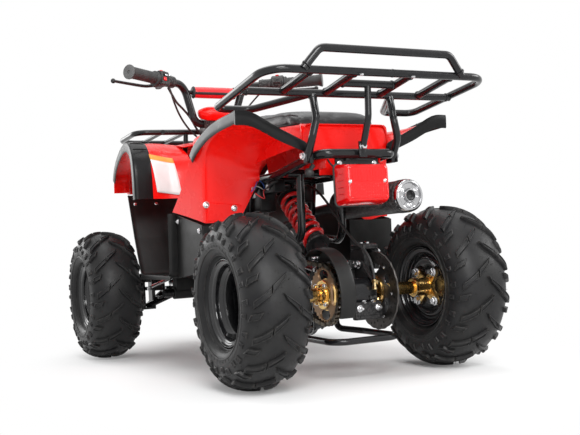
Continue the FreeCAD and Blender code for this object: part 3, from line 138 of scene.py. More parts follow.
class Geo:
    """Mesh data in millimetres, gathered from simple forms and written as one piece."""

    def __init__(self, verts=(), faces=()):
        self.v, self.f = [], []
        self.add(verts, faces)

    def add(self, verts, faces):
        n = len(self.v)
        self.v.extend(Vector(p) for p in verts)
        self.f.extend(tuple(i + n for i in face) for face in faces)
        return self

    def grid(self, rows, around=False, along=False, ends=False):
        """Rows of points joined into quads; around closes each row, along closes the rows."""
        n, last = len(rows[0]), len(rows) - 1
        faces = []
        for i in range(last + 1 if along else last):
            a, b = i * n, (i + 1) % (last + 1) * n
            for j in range(n if around else n - 1):
                k = (j + 1) % n
                faces.append((a + j, b + j, b + k, a + k))
        if ends:
            faces += [tuple(range(n)), tuple(reversed(range(last * n, last * n + n)))]
        return self.add([p for row in rows for p in row], faces)

    def loft(self, rows):
        """Closed form through rings of points."""
        return self.grid(rows, around=True, ends=True)

    def revolve(self, profile, centre=ORIGIN, axis=Y_AXIS, n=64, closed=False, arc=None):
        """Points (height, radius) turned about an axis."""
        axis, a, b = basis(axis)
        angles = [arc[0] + (arc[1] - arc[0]) * i / n for i in range(n + 1)] if arc else turns(n)
        rows = []
        for t in angles:
            d = a * cos(t) + b * sin(t)
            rows.append([Vector(centre) + axis * h + d * r for h, r in profile])
        return self.grid(rows, around=closed, along=arc is None)

    def tube(self, points, r, n=14, closed=False):
        """Round tube through points; r is a number or one radius per point."""
        pts = [Vector(p) for p in points]
        last = len(pts) - 1
        rows, side = [], None
        for i, p in enumerate(pts):
            ahead = pts[(i + 1) % (last + 1) if closed else min(i + 1, last)]
            t = (ahead - pts[i - 1 if closed else max(i - 1, 0)]).normalized()
            side = basis(t)[1] if side is None else side
            side = (side - t * side.dot(t)).normalized()
            up = t.cross(side)
            rad = r[i] if isinstance(r, list) else r
            rows.append([p + (side * cos(a) + up * sin(a)) * rad for a in turns(n)])
        return self.grid(rows, around=True, along=closed, ends=not closed)

    def cyl(self, a, b, r, n=32, r2=None, chamfer=0.0):
        """Cylinder or cone between two points, with chamfered ends."""
        a, b = Vector(a), Vector(b)
        r2 = r if r2 is None else r2
        length = (b - a).length
        c = min(chamfer, length / 2, r, r2)
        profile = [(0, 0.001), (0, r - c), (c, r), (length - c, r2), (length, r2 - c), (length, 0.001)]
        if not c:
            profile = [(0, 0.001), (0, r), (length, r2), (length, 0.001)]
        return self.revolve(profile, a, b - a, n)

    def box(self, centre, size, turn=None, bevel=0.0):
        bm = bmesh.new()
        bmesh.ops.create_cube(bm, size=1)
        bmesh.ops.scale(bm, vec=size, verts=bm.verts)
        if bevel:
            bmesh.ops.bevel(bm, geom=bm.edges[:], offset=bevel, segments=2, profile=0.6, affect="EDGES")
        if turn is not None:
            bmesh.ops.transform(bm, matrix=turn.to_4x4(), verts=bm.verts)
        bmesh.ops.translate(bm, vec=centre, verts=bm.verts)
        bm.verts.index_update()
        self.add([v.co.copy() for v in bm.verts], [[v.index for v in f.verts] for f in bm.faces])
        bm.free()
        return self

    def boxes(self, *spots):
        for centre, size, bevel in spots:
            self.box(centre, size, bevel=bevel)
        return self

    def ball(self, centre, r, n=20):
        angles = turns(n)[:n // 2 + 1]
        return self.revolve([(-r * cos(t), max(r * sin(t), 0.001)) for t in angles], centre, Z_AXIS, n)

    def bolt(self, at, axis, size=8.0, washer=True, head="hex"):
        """Bolt head standing on a surface: a washer, and a hexagon, a nut or a round recessed head."""
        axis, a, b = basis(axis)
        at = Vector(at)
        if washer:
            self.cyl(at - axis * 0.4, at + axis * 1.3, size, 28, chamfer=0.4)
            at = at + axis * 1.3
        if head == "round":
            r = size * 0.8
            return self.revolve([(0, r), (size * 0.18, r * 0.98), (size * 0.4, r * 0.78), (size * 0.5, r * 0.45),
                                 (size * 0.5, r * 0.4), (size * 0.3, r * 0.36), (size * 0.3, 0.001)], at, axis, 24)
        r, shoulder, top, brim = (0.78, 0.5, 0.62, 0.88) if head == "hex" else (0.84, 0.7, 0.8, 0.9)
        self.loft([[at + axis * h + (a * cos(t) + b * sin(t)) * size * r * k for t in turns(6)]
                   for h, k in ((-0.3, 1), (size * shoulder, 1), (size * top, brim))])
        if head == "nut":
            self.cyl(at, at + axis * size * 1.25, size * 0.48, 20, chamfer=0.8)
        return self

    def bolts(self, *spots, **options):
        for at, axis, size in spots:
            self.bolt(at, axis, size, **options)
        return self

    def cut(self, keep):
        """The same form without the faces whose middle fails a test."""
        return Geo(self.v, [f for f in self.f if keep(sum((self.v[i] for i in f), V(0, 0, 0)) / len(f))])

    def mirror(self):
        return Geo([V(p.x, -p.y, p.z) for p in self.v], [tuple(reversed(f)) for f in self.f])

    def both(self):
        m = self.mirror()
        return self.add(m.v, m.f)

    def sided(self, side):
        return self if side > 0 else self.mirror()

    def emit(self, name, mat, node=None, smooth=30, solid=0.0, bevel=0.0, body="root", slot=None, centred=False):
        """Write the piece: its material, thickness and bevel, its body and the node it stands for; the slot argument is
        not used.
        """
        mesh = new_mesh(name, [out(p) for p in self.v], self.f, 2e-6, 1e-6)
        mesh.materials.append(M[mat])
        o = add_object(name, mesh)
        if solid:
            m = o.modifiers.new("solid", "SOLIDIFY")
            m.thickness = solid / 1000
            m.offset = 0 if centred else -1
            m.use_even_offset = True
        if bevel:
            m = o.modifiers.new("bevel", "BEVEL")
            m.width = bevel / 1000
            m.segments = 2
            m.limit_method = "ANGLE"
            m.angle_limit = radians(32)
            m.harden_normals = True
        shade(mesh, smooth)
        attach(o, body, node, slot or MATERIALS[mat][0])


# Materials

def shader(nt, kind, output, inputs, **settings):
    """Shader node with its settings and inputs, each a value or another node's output; gives one output."""
    node = nt.nodes.new("ShaderNode" + kind)
    for key, value in settings.items():
        setattr(node, key, value)
    for key, value in inputs.items():
        if isinstance(value, bpy.types.NodeSocket):
            nt.links.new(value, node.inputs[key])
        else:
            node.inputs[key].default_value = value
    return node.outputs[output]


def material(name, color, color2, rough, metal=0.0, coat=0.0, coat_rough=0.05, scale=20.0, bump=0.0, bump_scale=300.0,
             bump2=0.0, bump2_scale=900.0, spec=0.5, dust=0.0, dust_color=(0.30, 0.28, 0.25), edge_wear_and_highlight=0.0,
             edge_wear_and_highlight_color=(0.35, 0.34, 0.33), transmission=0.0, cells=0.0, cell_scale=200.0, subsurface=0.0):
    """Procedural surface: colour and gloss that vary, fine bump, and, where asked, dust and lighter edges: wear, and on
    the tyre also a painted highlight along the lug edges.
    """
    m = bpy.data.materials.new(name)
    m.use_nodes = True
    nt = m.node_tree
    bsdf = nt.nodes["Principled BSDF"].inputs
    for key, value in (("Metallic", metal), ("IOR", 1.5), ("Specular IOR Level", spec), ("Coat Weight", coat),
                       ("Coat Roughness", coat_rough), ("Transmission Weight", transmission),
                       ("Subsurface Weight", subsurface), ("Subsurface Scale", 0.004)):
        bsdf[key].default_value = value
    place = nt.nodes.new("ShaderNodeTexCoord").outputs["Object"]

    def noise(size, detail=6.0, roughness=0.55):
        return shader(nt, "TexNoise", "Fac", {"Scale": size, "Detail": detail, "Roughness": roughness, "Vector": place})

    def ramp(value, lo, hi, a=0.0, b=1.0):
        return shader(nt, "MapRange", "Result",
                      {"Value": value, "From Min": lo, "From Max": hi, "To Min": a, "To Max": b})

    def mix(fac, a, b):
        return shader(nt, "Mix", 2, {0: fac, 6: a, 7: b}, data_type="RGBA")

    color2 = color2 or tuple(min(1, c * 1.18 + 0.004) for c in color)
    base = mix(ramp(noise(scale), 0.35, 0.68), (*color, 1), (*color2, 1))
    # Lighter colour on sharp edges: worn paint and metal, and on the tyre a painted highlight along the lug edges
    # besides rub.
    if edge_wear_and_highlight:
        edge = ramp(nt.nodes.new("ShaderNodeNewGeometry").outputs["Pointiness"], 0.52, 0.60)
        worn_and_highlit_edges = shader(nt, "Math", 0, {0: edge, 1: ramp(noise(scale * 9), 0.42, 0.62)}, operation="MULTIPLY")
        base = mix(ramp(worn_and_highlit_edges, 0, 1, 0, edge_wear_and_highlight), base, (*edge_wear_and_highlight_color, 1))
    if dust:
        base = mix(ramp(noise(scale * 2.3, 8, 0.65), 0.38, 0.72, 0, dust), base, (*dust_color, 1))
    nt.links.new(base, bsdf["Base Color"])
    nt.links.new(ramp(noise(scale * 3.1, 7, 0.6), 0.3, 0.7, *rough), bsdf["Roughness"])
    normal = None
    for strength, size, grain in ((bump, bump_scale, True), (bump2, bump2_scale, True), (cells, cell_scale, False)):
        if strength:
            height = noise(size, 4) if grain else shader(nt, "TexVoronoi", "Distance",
                                                         {"Scale": size, "Vector": place}, feature="SMOOTH_F1")
            inputs = {"Strength": strength, "Distance": 0.0006, "Height": height}
            if normal:
                inputs["Normal"] = normal
            normal = shader(nt, "Bump", "Normal", inputs)
    if normal:
        nt.links.new(normal, bsdf["Normal"])
    return m


# Each with its slot in the record, name, two colours, range of roughness, and what else differs
MATERIALS = {
    "tube": ("gloss_black_tube", "black_gloss_tube", (0.005, 0.005, 0.006), (0.01, 0.01, 0.011), (0.14, 0.26),
             dict(coat=0.25, bump=0.05, bump_scale=260, scale=14, dust=0.01, spec=0.25)),
    "satin": ("satin_black_metal", "black_satin_metal", (0.007, 0.007, 0.008), (0.015, 0.015, 0.016), (0.3, 0.46),
              dict(bump=0.1, bump_scale=500, scale=25, edge_wear_and_highlight=0.3, dust=0.03, spec=0.2)),
    "rim": ("gloss_black_rim", "black_gloss_rim", (0.005, 0.005, 0.006), (0.01, 0.01, 0.011), (0.14, 0.26),
            dict(coat=0.4, bump=0.04, bump_scale=180, scale=18, spec=0.35)),
    "red": ("red_plastic", "red_plastic", (0.92, 0.006, 0.004), (0.98, 0.01, 0.006), (0.22, 0.32),
            dict(coat=0.16, coat_rough=0.08, bump=0.02, bump_scale=90, scale=6, spec=0.22)),
    "black": ("black_plastic", "black_moulded_plastic", (0.007, 0.007, 0.007), (0.013, 0.013, 0.013), (0.34, 0.46),
              dict(bump=0.18, bump_scale=900, bump2=0.1, bump2_scale=2200, scale=10, dust=0.02, spec=0.2)),
    "flare": ("black_plastic", "black_flare_plastic", (0.006, 0.006, 0.006), (0.01, 0.01, 0.011), (0.26, 0.36),
              dict(bump=0.06, bump_scale=900, scale=9, spec=0.18)),
    # The tyre's lighter, brownish edges are rub and a painted highlight along the lug edges.
    "tyre": ("tyre", "tyre_rubber", (0.009, 0.009, 0.01), (0.017, 0.017, 0.017), (0.34, 0.5),
             dict(bump=0.16, bump_scale=420, bump2=0.1, bump2_scale=1500, scale=16, dust=0.07, spec=0.22,
                  dust_color=(0.07, 0.066, 0.062), edge_wear_and_highlight=0.5, edge_wear_and_highlight_color=(0.1, 0.092, 0.085))),
    "seat": ("seat_vinyl", "seat_vinyl", (0.014, 0.014, 0.015), (0.026, 0.026, 0.028), (0.32, 0.44),
             dict(bump=0.12, bump_scale=700, cells=0.35, cell_scale=620, scale=12)),
    "rubber": ("cable_rubber", "grip_rubber", (0.014, 0.014, 0.014), (0.028, 0.028, 0.028), (0.5, 0.66),
               dict(bump=0.15, bump_scale=900, scale=30)),
    "alloy": ("engine_alloy", "cast_alloy", (0.42, 0.42, 0.43), (0.56, 0.56, 0.57), (0.34, 0.52),
              dict(metal=0.9, bump=0.35, bump_scale=500, scale=22, dust=0.12, dust_color=(0.16, 0.14, 0.12))),
    "casting": ("engine_alloy", "black_casting", (0.02, 0.02, 0.021), (0.042, 0.042, 0.043), (0.38, 0.55),
                dict(bump=0.4, bump_scale=500, scale=24, dust=0.1, edge_wear_and_highlight=0.2)),
    "gold": ("gold_steel", "gold_zinc", (0.74, 0.44, 0.13), (0.92, 0.66, 0.27), (0.14, 0.3),
             dict(metal=1.0, bump=0.03, bump_scale=500, scale=14, edge_wear_and_highlight=0.2, edge_wear_and_highlight_color=(0.75, 0.55, 0.45))),
    "bright": ("bright_steel", "bright_steel", (0.6, 0.6, 0.61), (0.74, 0.74, 0.75), (0.16, 0.3),
               dict(metal=1.0, bump=0.06, bump_scale=900, scale=30)),
    "disc": ("bright_steel", "ground_steel", (0.07, 0.066, 0.062), (0.13, 0.12, 0.115), (0.34, 0.48),
             dict(metal=1.0, bump=0.1, bump_scale=700, scale=60, dust=0.15, dust_color=(0.12, 0.1, 0.09))),
    "chain": ("chain_steel", "oiled_chain", (0.07, 0.06, 0.05), (0.2, 0.17, 0.13), (0.25, 0.45),
              dict(metal=1.0, bump=0.12, bump_scale=900, scale=90)),
    "chrome": ("chrome", "chrome", (0.46, 0.46, 0.47), (0.58, 0.58, 0.59), (0.1, 0.18),
               dict(metal=1.0, bump=0.01, bump_scale=200, scale=12)),
    "spring": ("red_spring", "red_spring", (0.74, 0.01, 0.012), (0.84, 0.018, 0.018), (0.16, 0.26),
               dict(coat=0.6, bump=0.04, bump_scale=240, scale=18)),
    "lens": ("red_lens", "red_lens", (0.62, 0.003, 0.004), (0.76, 0.005, 0.006), (0.08, 0.14),
             dict(coat=0.4, spec=0.3, scale=12, bump=0.03, bump_scale=160, subsurface=0.2)),
    "glass": ("lamp_glass", "lamp_lens", (0.8, 0.83, 0.85), (0.9, 0.92, 0.93), (0.05, 0.1),
              dict(transmission=0.75, cells=0.3, cell_scale=140, scale=10)),
    "pad": ("foam_red", "red_pad", (0.62, 0.01, 0.016), (0.72, 0.014, 0.02), (0.3, 0.42),
            dict(cells=0.2, cell_scale=700, scale=14)),
    "stripe": ("grip_rubber", "black_stripe", (0.012, 0.012, 0.013), (0.022, 0.022, 0.023), (0.3, 0.42),
               dict(scale=20, bump=0.1, bump_scale=800)),
    "white": ("red_plastic", "white_vinyl", (0.8, 0.8, 0.79), (0.86, 0.86, 0.85), (0.3, 0.38),
              dict(scale=30, bump=0.02)),
    "orange": ("red_plastic", "orange_vinyl", (0.86, 0.3, 0.03), (0.9, 0.36, 0.05), (0.3, 0.38),
               dict(scale=30, bump=0.02)),
    "grey": ("grip_rubber", "grey_plastic", (0.1, 0.1, 0.1), (0.15, 0.15, 0.15), (0.42, 0.55),
             dict(bump=0.1, scale=30)),
    "capgrey": ("black_plastic", "cap_grey", (0.045, 0.045, 0.047), (0.07, 0.07, 0.072), (0.38, 0.5),
                dict(bump=0.1, scale=30)),
    "wire_blue": ("cable_rubber", "wire_blue", (0.03, 0.1, 0.42), None, (0.35, 0.45), dict(scale=40, bump=0.05)),
    "wire_red": ("cable_rubber", "wire_red", (0.6, 0.02, 0.02), None, (0.35, 0.45), dict(scale=40, bump=0.05)),
    "wire_white": ("cable_rubber", "wire_white", (0.62, 0.62, 0.6), None, (0.35, 0.45), dict(scale=40, bump=0.05)),
    "tan": ("gold_steel", "tan_zinc", (0.34, 0.2, 0.11), (0.46, 0.3, 0.18), (0.34, 0.48),
            dict(metal=0.6, bump=0.08, bump_scale=600, scale=30, edge_wear_and_highlight=0.2, edge_wear_and_highlight_color=(0.5, 0.42, 0.34))),
    "brass": ("gold_steel", "cable_brass", (0.62, 0.46, 0.22), (0.74, 0.58, 0.32), (0.22, 0.36),
              dict(metal=1.0, scale=60, bump=0.05)),
}
M = {key: material(*row[1:5], **row[5]) for key, row in MATERIALS.items()}

CAD_NODES = {
    "tube": "frame front_bumper rear_rack front_rack swingarm a_arm_left a_arm_right handlebar",
    "satin": "brake_caliper steering_column controls_left controls_right exhaust knuckle_left knuckle_right",
    "red": "handlebar_cover rear_bodywork front_bodywork tank_cover", "flare": "rear_flares front_flares",
    "black": "chain_guard footwell_left footwell_right", "rubber": "brake_cable grips",
    "spring": "rear_shock front_shock_left front_shock_right", "gold": "rear_axle", "tan": "sprocket",
    "disc": "brake_disc", "chain": "chain", "pad": "crossbar_pad", "alloy": "engine", "casting": "intake",
    "chrome": "muffler_cap", "seat": "seat", "glass": "headlights", "lens": "tail_light",
    "bright": "tie_rod_left tie_rod_right",
    "rim": "front_rim_left front_rim_right rear_rim_left rear_rim_right",
    "tyre": "front_tyre_left front_tyre_right rear_tyre_left rear_tyre_right",
}
for key, names in CAD_NODES.items():
    for name in names.split():
        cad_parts[name].data.materials.clear()
        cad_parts[name].data.materials.append(M[key])


# Tyres: a rounded carcass with raised, framed lugs that follow its surface

CARCASS_R, HALF_W, LUG_H, PITCHES = 172.0, 70.0, 7.6, 14
TREAD = 2 * pi * CARCASS_R

# Height, recess and frame of each block, and its corners across and along the tread: the chevron's long arm
# in two blocks with a step between them, a small diamond at the shoulder, and two square blocks on the sidewall
LUGS = ((LUG_H, 1.7, 2.6, ((-5, -19), (1, -7), (27, 17), (25, 3))),
        (LUG_H, 1.7, 2.6, ((28, 6.5), (29.5, 20.5), (61, 44), (61, 30))),
        (LUG_H - 1, 1.6, 2.6, ((45, 52), (50, 65), (73, 73), (67, 57))),
        (3.4, 0.8, 2.2, ((76, 24), (76, 37), (89, 37), (89, 26))),
        (3.0, 0.8, 2.2, ((82, 58), (82, 69), (93, 68), (93, 59))))


def tyre_profile():
    """Outer line of one half, from the crown to the bead, as (y, r)."""
    low_r, power = 116.0, 2 / 2.35
    pts = []
    for i in range(41):
        t = pi / 2 * i / 40
        pts.append((HALF_W * sin(t) ** power, low_r + (CARCASS_R - low_r) * max(cos(t), 0) ** power))
    return pts + [(69.2, 111), (67.6, 106), (65.2, 101.5), (61.6, 97.8), (57.0, 95.2), (53.0, 94.0), (51.6, 92.8),
                  (51.2, 91.4), (49.6, 90.4)]


PROFILE = tyre_profile()
LENGTHS = [0.0]
for (y0, r0), (y1, r1) in zip(PROFILE, PROFILE[1:]):
    LENGTHS.append(LENGTHS[-1] + hypot(y1 - y0, r1 - r0))


def on_profile(w):
    """Point and outward normal of the carcass at a signed distance from the crown."""
    s = min(abs(w), LENGTHS[-1] - 1e-3)
    sign = 1 if w >= 0 else -1
    i = next(k for k in range(len(LENGTHS)) if LENGTHS[k + 1] >= s)
    t = (s - LENGTHS[i]) / (LENGTHS[i + 1] - LENGTHS[i])
    y, r = (p + (q - p) * t for p, q in zip(PROFILE[i], PROFILE[i + 1]))
    a, b = PROFILE[max(i - 1, 0)], PROFILE[min(i + 2, len(PROFILE) - 1)]
    dy, dr = (b[0] - a[0], b[1] - a[1]) if i else (1.0, 0.0)
    k = hypot(dy, dr)
    return sign * y, r, -sign * dr / k, dy / k


def on_tyre(w, c, h):
    """Point over the tyre's surface: w across from the crown, c along the tread, h above the carcass."""
    y, r, ny, nr = on_profile(w)
    r += nr * h
    a = -c / CARCASS_R
    return V(r * sin(a), y + ny * h, r * cos(a))


def lug(geo, outline, height, recess, frame_w):
    """Raised block over a four-cornered patch, with sloped sides and a framed, recessed top."""
    (w0, c0), (w1, c1), (w2, c2), (w3, c3) = outline
    len_u = max(hypot(w1 - w0, c1 - c0), hypot(w2 - w3, c2 - c3))
    len_v = max(hypot(w3 - w0, c3 - c0), hypot(w2 - w1, c2 - c1))
    nu, nv = (max(2, int(length / 7)) + 1 for length in (len_u, len_v))

    def at(u, v, h):
        w = (w0 * (1 - u) + w1 * u) * (1 - v) + (w3 * (1 - u) + w2 * u) * v
        c = (c0 * (1 - u) + c1 * u) * (1 - v) + (c3 * (1 - u) + c2 * u) * v
        return on_tyre(w, c, h)

    def loop(inset, h):
        iu, iv = inset / len_u, inset / len_v
        half = [(iu + (1 - 2 * iu) * i / nu, iv) for i in range(nu)]
        half += [(1 - iu, iv + (1 - 2 * iv) * i / nv) for i in range(nv)]
        return [at(u, v, h) for u, v in half + [(1 - u, 1 - v) for u, v in half]]

    frame_w = min(frame_w, len_u * 0.3, len_v * 0.3)
    low = height - recess
    geo.grid([loop(-1.6, -1.0), loop(-1.12, 0.4), loop(-0.3, height - 1.0), loop(0.5, height - 0.2), loop(1.0, height),
              loop(frame_w, height), loop(frame_w + 0.5, low)], around=True)
    iu, iv = (frame_w + 0.5) / len_u, (frame_w + 0.5) / len_v
    geo.grid([[at(iu + (1 - 2 * iu) * i / nu, iv + (1 - 2 * iv) * j / nv, low) for i in range(nu + 1)]
              for j in range(nv + 1)])


def tyre_geo():
    """One tyre about the origin, its axle along Y; the chevrons point along the tread."""
    geo = Geo()
    inner = [(46, 90), (46, 96), (52, 108), (0, 150), (-52, 108), (-46, 96), (-46, 90)]
    geo.revolve([(-y, r) for y, r in reversed(PROFILE[1:])] + PROFILE + inner, n=112, closed=True)
    # Rim guard rings and fine moulded lines on both sidewalls
    for side in (1, -1):
        for w, h, width in ((108.5, 1.5, 2.4), (126.0, 1.0, 1.2), (97.0, 0.5, 0.8)):
            profile = []
            for d, k in ((-width, -0.3), (-width * 0.5, h), (width * 0.5, h), (width, -0.3)):
                y, r, ny, nr = on_profile(side * (w + d))
                profile.append((y + ny * k, r + nr * k))
            geo.revolve(profile, n=96)
    for i in range(PITCHES):
        for side in (1, -1):
            c = TREAD / PITCHES * (i + (0.0 if side > 0 else 0.5))
            for height, recess, frame_w, corners in LUGS:
                lug(geo, [(side * w, c + d) for w, d in corners], height, recess, frame_w)
    # Moulding hairs left on the tread and shoulders
    rnd = random.Random(7)
    for i in range(150):
        w = rnd.choice((-1, 1)) * rnd.uniform(4, 74)
        c, lean, top = rnd.uniform(0, TREAD), rnd.uniform(-2.0, 2.0), rnd.uniform(3.5, 7.2)
        geo.tube([on_tyre(w, c, -0.5), on_tyre(w + lean * 0.4, c + lean * 0.5, top * 0.6),
                  on_tyre(w + lean, c + lean, top)], [0.42, 0.34, 0.16], 5)
    # Short radial ticks round the bead
    for side in (1, -1):
        for i, a in enumerate(turns(48)):
            if i % 12 not in (4, 5, 6, 7):
                geo.tube([about_y(a) @ on_tyre(side * w, 0, 0.35) for w in (101, 105.5)], 0.45, 5)
    return geo


def tyres():
    geo = tyre_geo()
    mesh = new_mesh("tyre_mesh", [p / 1000 for p in geo.v], geo.f)
    shade(mesh, 42)
    mesh.materials.append(M["tyre"])
    for node, x, y, body in (("rear_tyre_left", 0, REAR_Y, "rear_axle"), ("rear_tyre_right", 0, -REAR_Y, "rear_axle"),
                             ("front_tyre_left", WHEELBASE, FRONT_Y, "front_wheel_left"),
                             ("front_tyre_right", WHEELBASE, -FRONT_Y, "front_wheel_right")):
        o = add_object("worn_" + node, mesh)
        o.location = out((x, y, WHEEL_Z))
        attach(o, body, node, "tyre")


# Smooth lines and the surfaces that the bodywork is made of

def smooth_line(points, steps=3):
    """Finer points along a smooth curve through the given ones."""
    fine, last = [], len(points) - 1
    for i in range(last):
        before, start, end, after = points[max(i - 1, 0)], points[i], points[i + 1], points[min(i + 2, last)]
        for t in (k / steps for k in range(steps)):
            fine.append((start * 2 + (end - before) * t + (before * 2 - start * 5 + end * 4 - after) * t ** 2
                         + (start * 3 - before - end * 3 + after) * t ** 3) * 0.5)
    return fine + [points[-1]]


def smooth_rows(rows, steps):
    cols = [smooth_line([row[j] for row in rows], steps) for j in range(len(rows[0]))]
    return [[c[i] for c in cols] for i in range(len(cols[0]))]


def line_normals(points):
    """Direction square to a line and to Y, at each point."""
    last = len(points) - 1
    return [(points[min(i + 1, last)] - points[max(i - 1, 0)]).cross(V(0, 1, 0)).normalized() for i in range(last + 1)]


WELL_EDGE = side_line(256, ((380, 384), (306, 436), (264, 476), (226, 512), (156, 538), (80, 551), (-22, 556)))


def well_points(y, drop):
    return side_line(y, ((212, 348), (208, 432 - drop * 0.2), (200, 486 - drop * 0.5), (180, 517 - drop * 0.8),
                         (130, 535 - drop), (60, 545 - drop * 1.1), (-22, 552 - drop * 1.3)))


def nose_points(y, drop, back):
    return side_line(y, ((600 - back, 432), (612 - back, 505), (640 - back, 556 - drop * 0.4), (706, 596 - drop),
                         (782, 600 - drop), (860, 586 - drop), (930, 562 - drop), (985, 530 - drop * 0.5), (1012, 476)))


def nose_edge(inset):
    line = ((600, 432), (605, 505), (630, 558), (692, 590), (775, 592), (865, 572), (925, 545), (955, 514), (962, 476))
    return [V(x, 280 - inset - 0.115 * (x - 600), z) for x, z in line]


def rear_fender():
    edge, ridge = smooth_line(WELL_EDGE, 6), smooth_line(well_points(239, 0), 6)
    inner = [well_points(222, 0), well_points(165, 24), well_points(108, 44)]
    inner[-1][:2] = V(204, 108, 446), V(199, 108, 450)
    # Over the wheel the top stays nearly level towards the seat, and falls only near the rear edge
    for k, rise in ((1, 19), (2, 34)):
        inner[k] = [p + V(0, 0, rise * sin(pi * clamp((p.x + 28) / 214)) ** 1.1) for p in inner[k]]
    rows = []
    for k, bow in ((0.0, 0.0), (0.06, 0.5), (0.2, 1.2), (0.4, 2.0), (0.6, 2.2), (0.8, 1.6), (0.92, 0.8), (0.98, 0.2)):
        rows.append([a.lerp(b, k) + V(-bow, bow * 0.4, bow * 0.6) for a, b in zip(edge, ridge)])
    for y, sink in ((238.4, 0.0), (236.4, 0.3), (232, 0.5)):
        rows.append([V(p.x + sink, y, p.z) for p in ridge])
    rows += smooth_rows([smooth_line(line, 6) for line in inner], 6)
    Geo().grid(rows).both().emit("rear_fenders", "red", "rear_bodywork", 75, solid=3.2, bevel=0.8)
    # Lower strip of the front wall of each arch, a little proud
    rows = []
    for k in range(9):
        y = 236 - 84 * k / 8
        top = 396 - (250 - y) * 0.085
        rows.append(side_line(y, ((209, 351), (208.2, 352), (206.7, (351 + top) / 2), (205.6, top - 1.4), (207, top))))
    Geo().grid(rows).both().emit("rear_fender_strips", "red", "rear_bodywork", 50, solid=1.6, bevel=0.3)


def hump():
    rows = []
    for x, half, low, top in ((-20, 100, 494, 540), (60, 112, 488, 545), (160, 116, 480, 552), (250, 112, 470, 566)):
        rows.append(smooth_line(mirrored(cross_line(x, (
            (half + 6, low), (half + 4.5, (low * 2 + top) / 3), (half + 2, (low + top * 2) / 3), (half - 1, top - 7),
            (half - 5, top - 2), (half - 12, top), (half * 0.5, top)))), 2))
    Geo().grid(smooth_rows(rows, 5)).emit("seat_hump", "red", "rear_bodywork", 60, solid=2.6, bevel=0.5)
    rows = []
    for i in range(13):
        y = -106 + 212 * i / 12
        flat = (abs(y) / 106) ** 6
        x = -17 - 3.4 * (1 - flat)
        rows.append(smooth_line([V(-17 - 0.68 * (1 - flat), y, 470 + 3 * flat), V(x, y, 478), V(x - 0.5, y, 497),
                                 V(x, y, 520), V(x + 2, y, 534), V(-9, y * 0.985, 541)], 3))
    Geo().grid(rows).emit("tail_panel", "red", "rear_bodywork", 60, solid=2.6, bevel=0.5)
    Geo().boxes(((30, 0, 455), (70, 132, 3), 1), ((4, 66, 462), (96, 3, 34), 1), ((4, -66, 462), (96, 3, 34), 1),
                ((-12, 0, 452), (3, 132, 40), 1)).emit("tail_under_tray", "red", "rear_bodywork", 38)


def rear_flare():
    edge, ridge, flat = (smooth_line(line, 6) for line in (WELL_EDGE, well_points(239, 0), well_points(228, 0)))
    rows = []
    for e, r, f, ne, nr in list(zip(edge, ridge, flat, line_normals(edge), line_normals(ridge)))[16:]:
        ne = ne if ne.z > 0 else -ne
        nr = nr if nr.z > 0 else -nr
        rows.append([f + nr * 2.4, f + nr * 5.6, f + nr * 6.9 + V(0, 1.6, 0), r + nr * 7.6,
                     e.lerp(r, 0.5) + (ne + nr) * 3.8]
                    + [e + ne * lift + V(0, y, 0) for lift, y in (
                        (7.4, -1.5), (7, 1.2), (5.2, 2.9), (1, 3.3), (-8, 3.3), (-18, 3.2), (-19.8, 2.2), (-19.4, 0.6),
                        (-16, 0.3), (1.5, 0.3))] + [r + nr * 2.4])
    g = Geo().loft(rows)
    steps = Geo()
    for row in (rows[11], rows[14]):
        steps.tube([row[3], row[4] + V(0, 0, 0.6), row[5] + V(0, 0, 0.4)], 1.4, 8)
    # Lip across the rear edge, given as side, fall and depth
    z0 = edge[-1].z + 7.3
    lip = ((259.3, 0, 30), (222, -3, 30), (165, -33, 27), (108, -60, 22), (98, -68, 10))
    tops = smooth_line([V(0, y, z0 + fall) for y, fall, depth in lip], 5)
    lows = smooth_line([V(0, y, z0 + fall - depth) for y, fall, depth in lip], 5)
    g.loft([side_line(t.y, ((-22.4, b.z + 2), (-22.4, t.z - 2), (-24, t.z), (-26.4, t.z), (-28.2, t.z - 2.6),
                            (-28.4, t.z * 0.6 + b.z * 0.4), (-27.4, b.z + 2.4), (-25.6, b.z)))
            for t, b in zip(tops, lows)])
    g.both().emit("rear_edge_mouldings", "flare", "rear_flares", 50)
    steps.both().emit("rear_moulding_ribs", "flare", "rear_flares", 38)


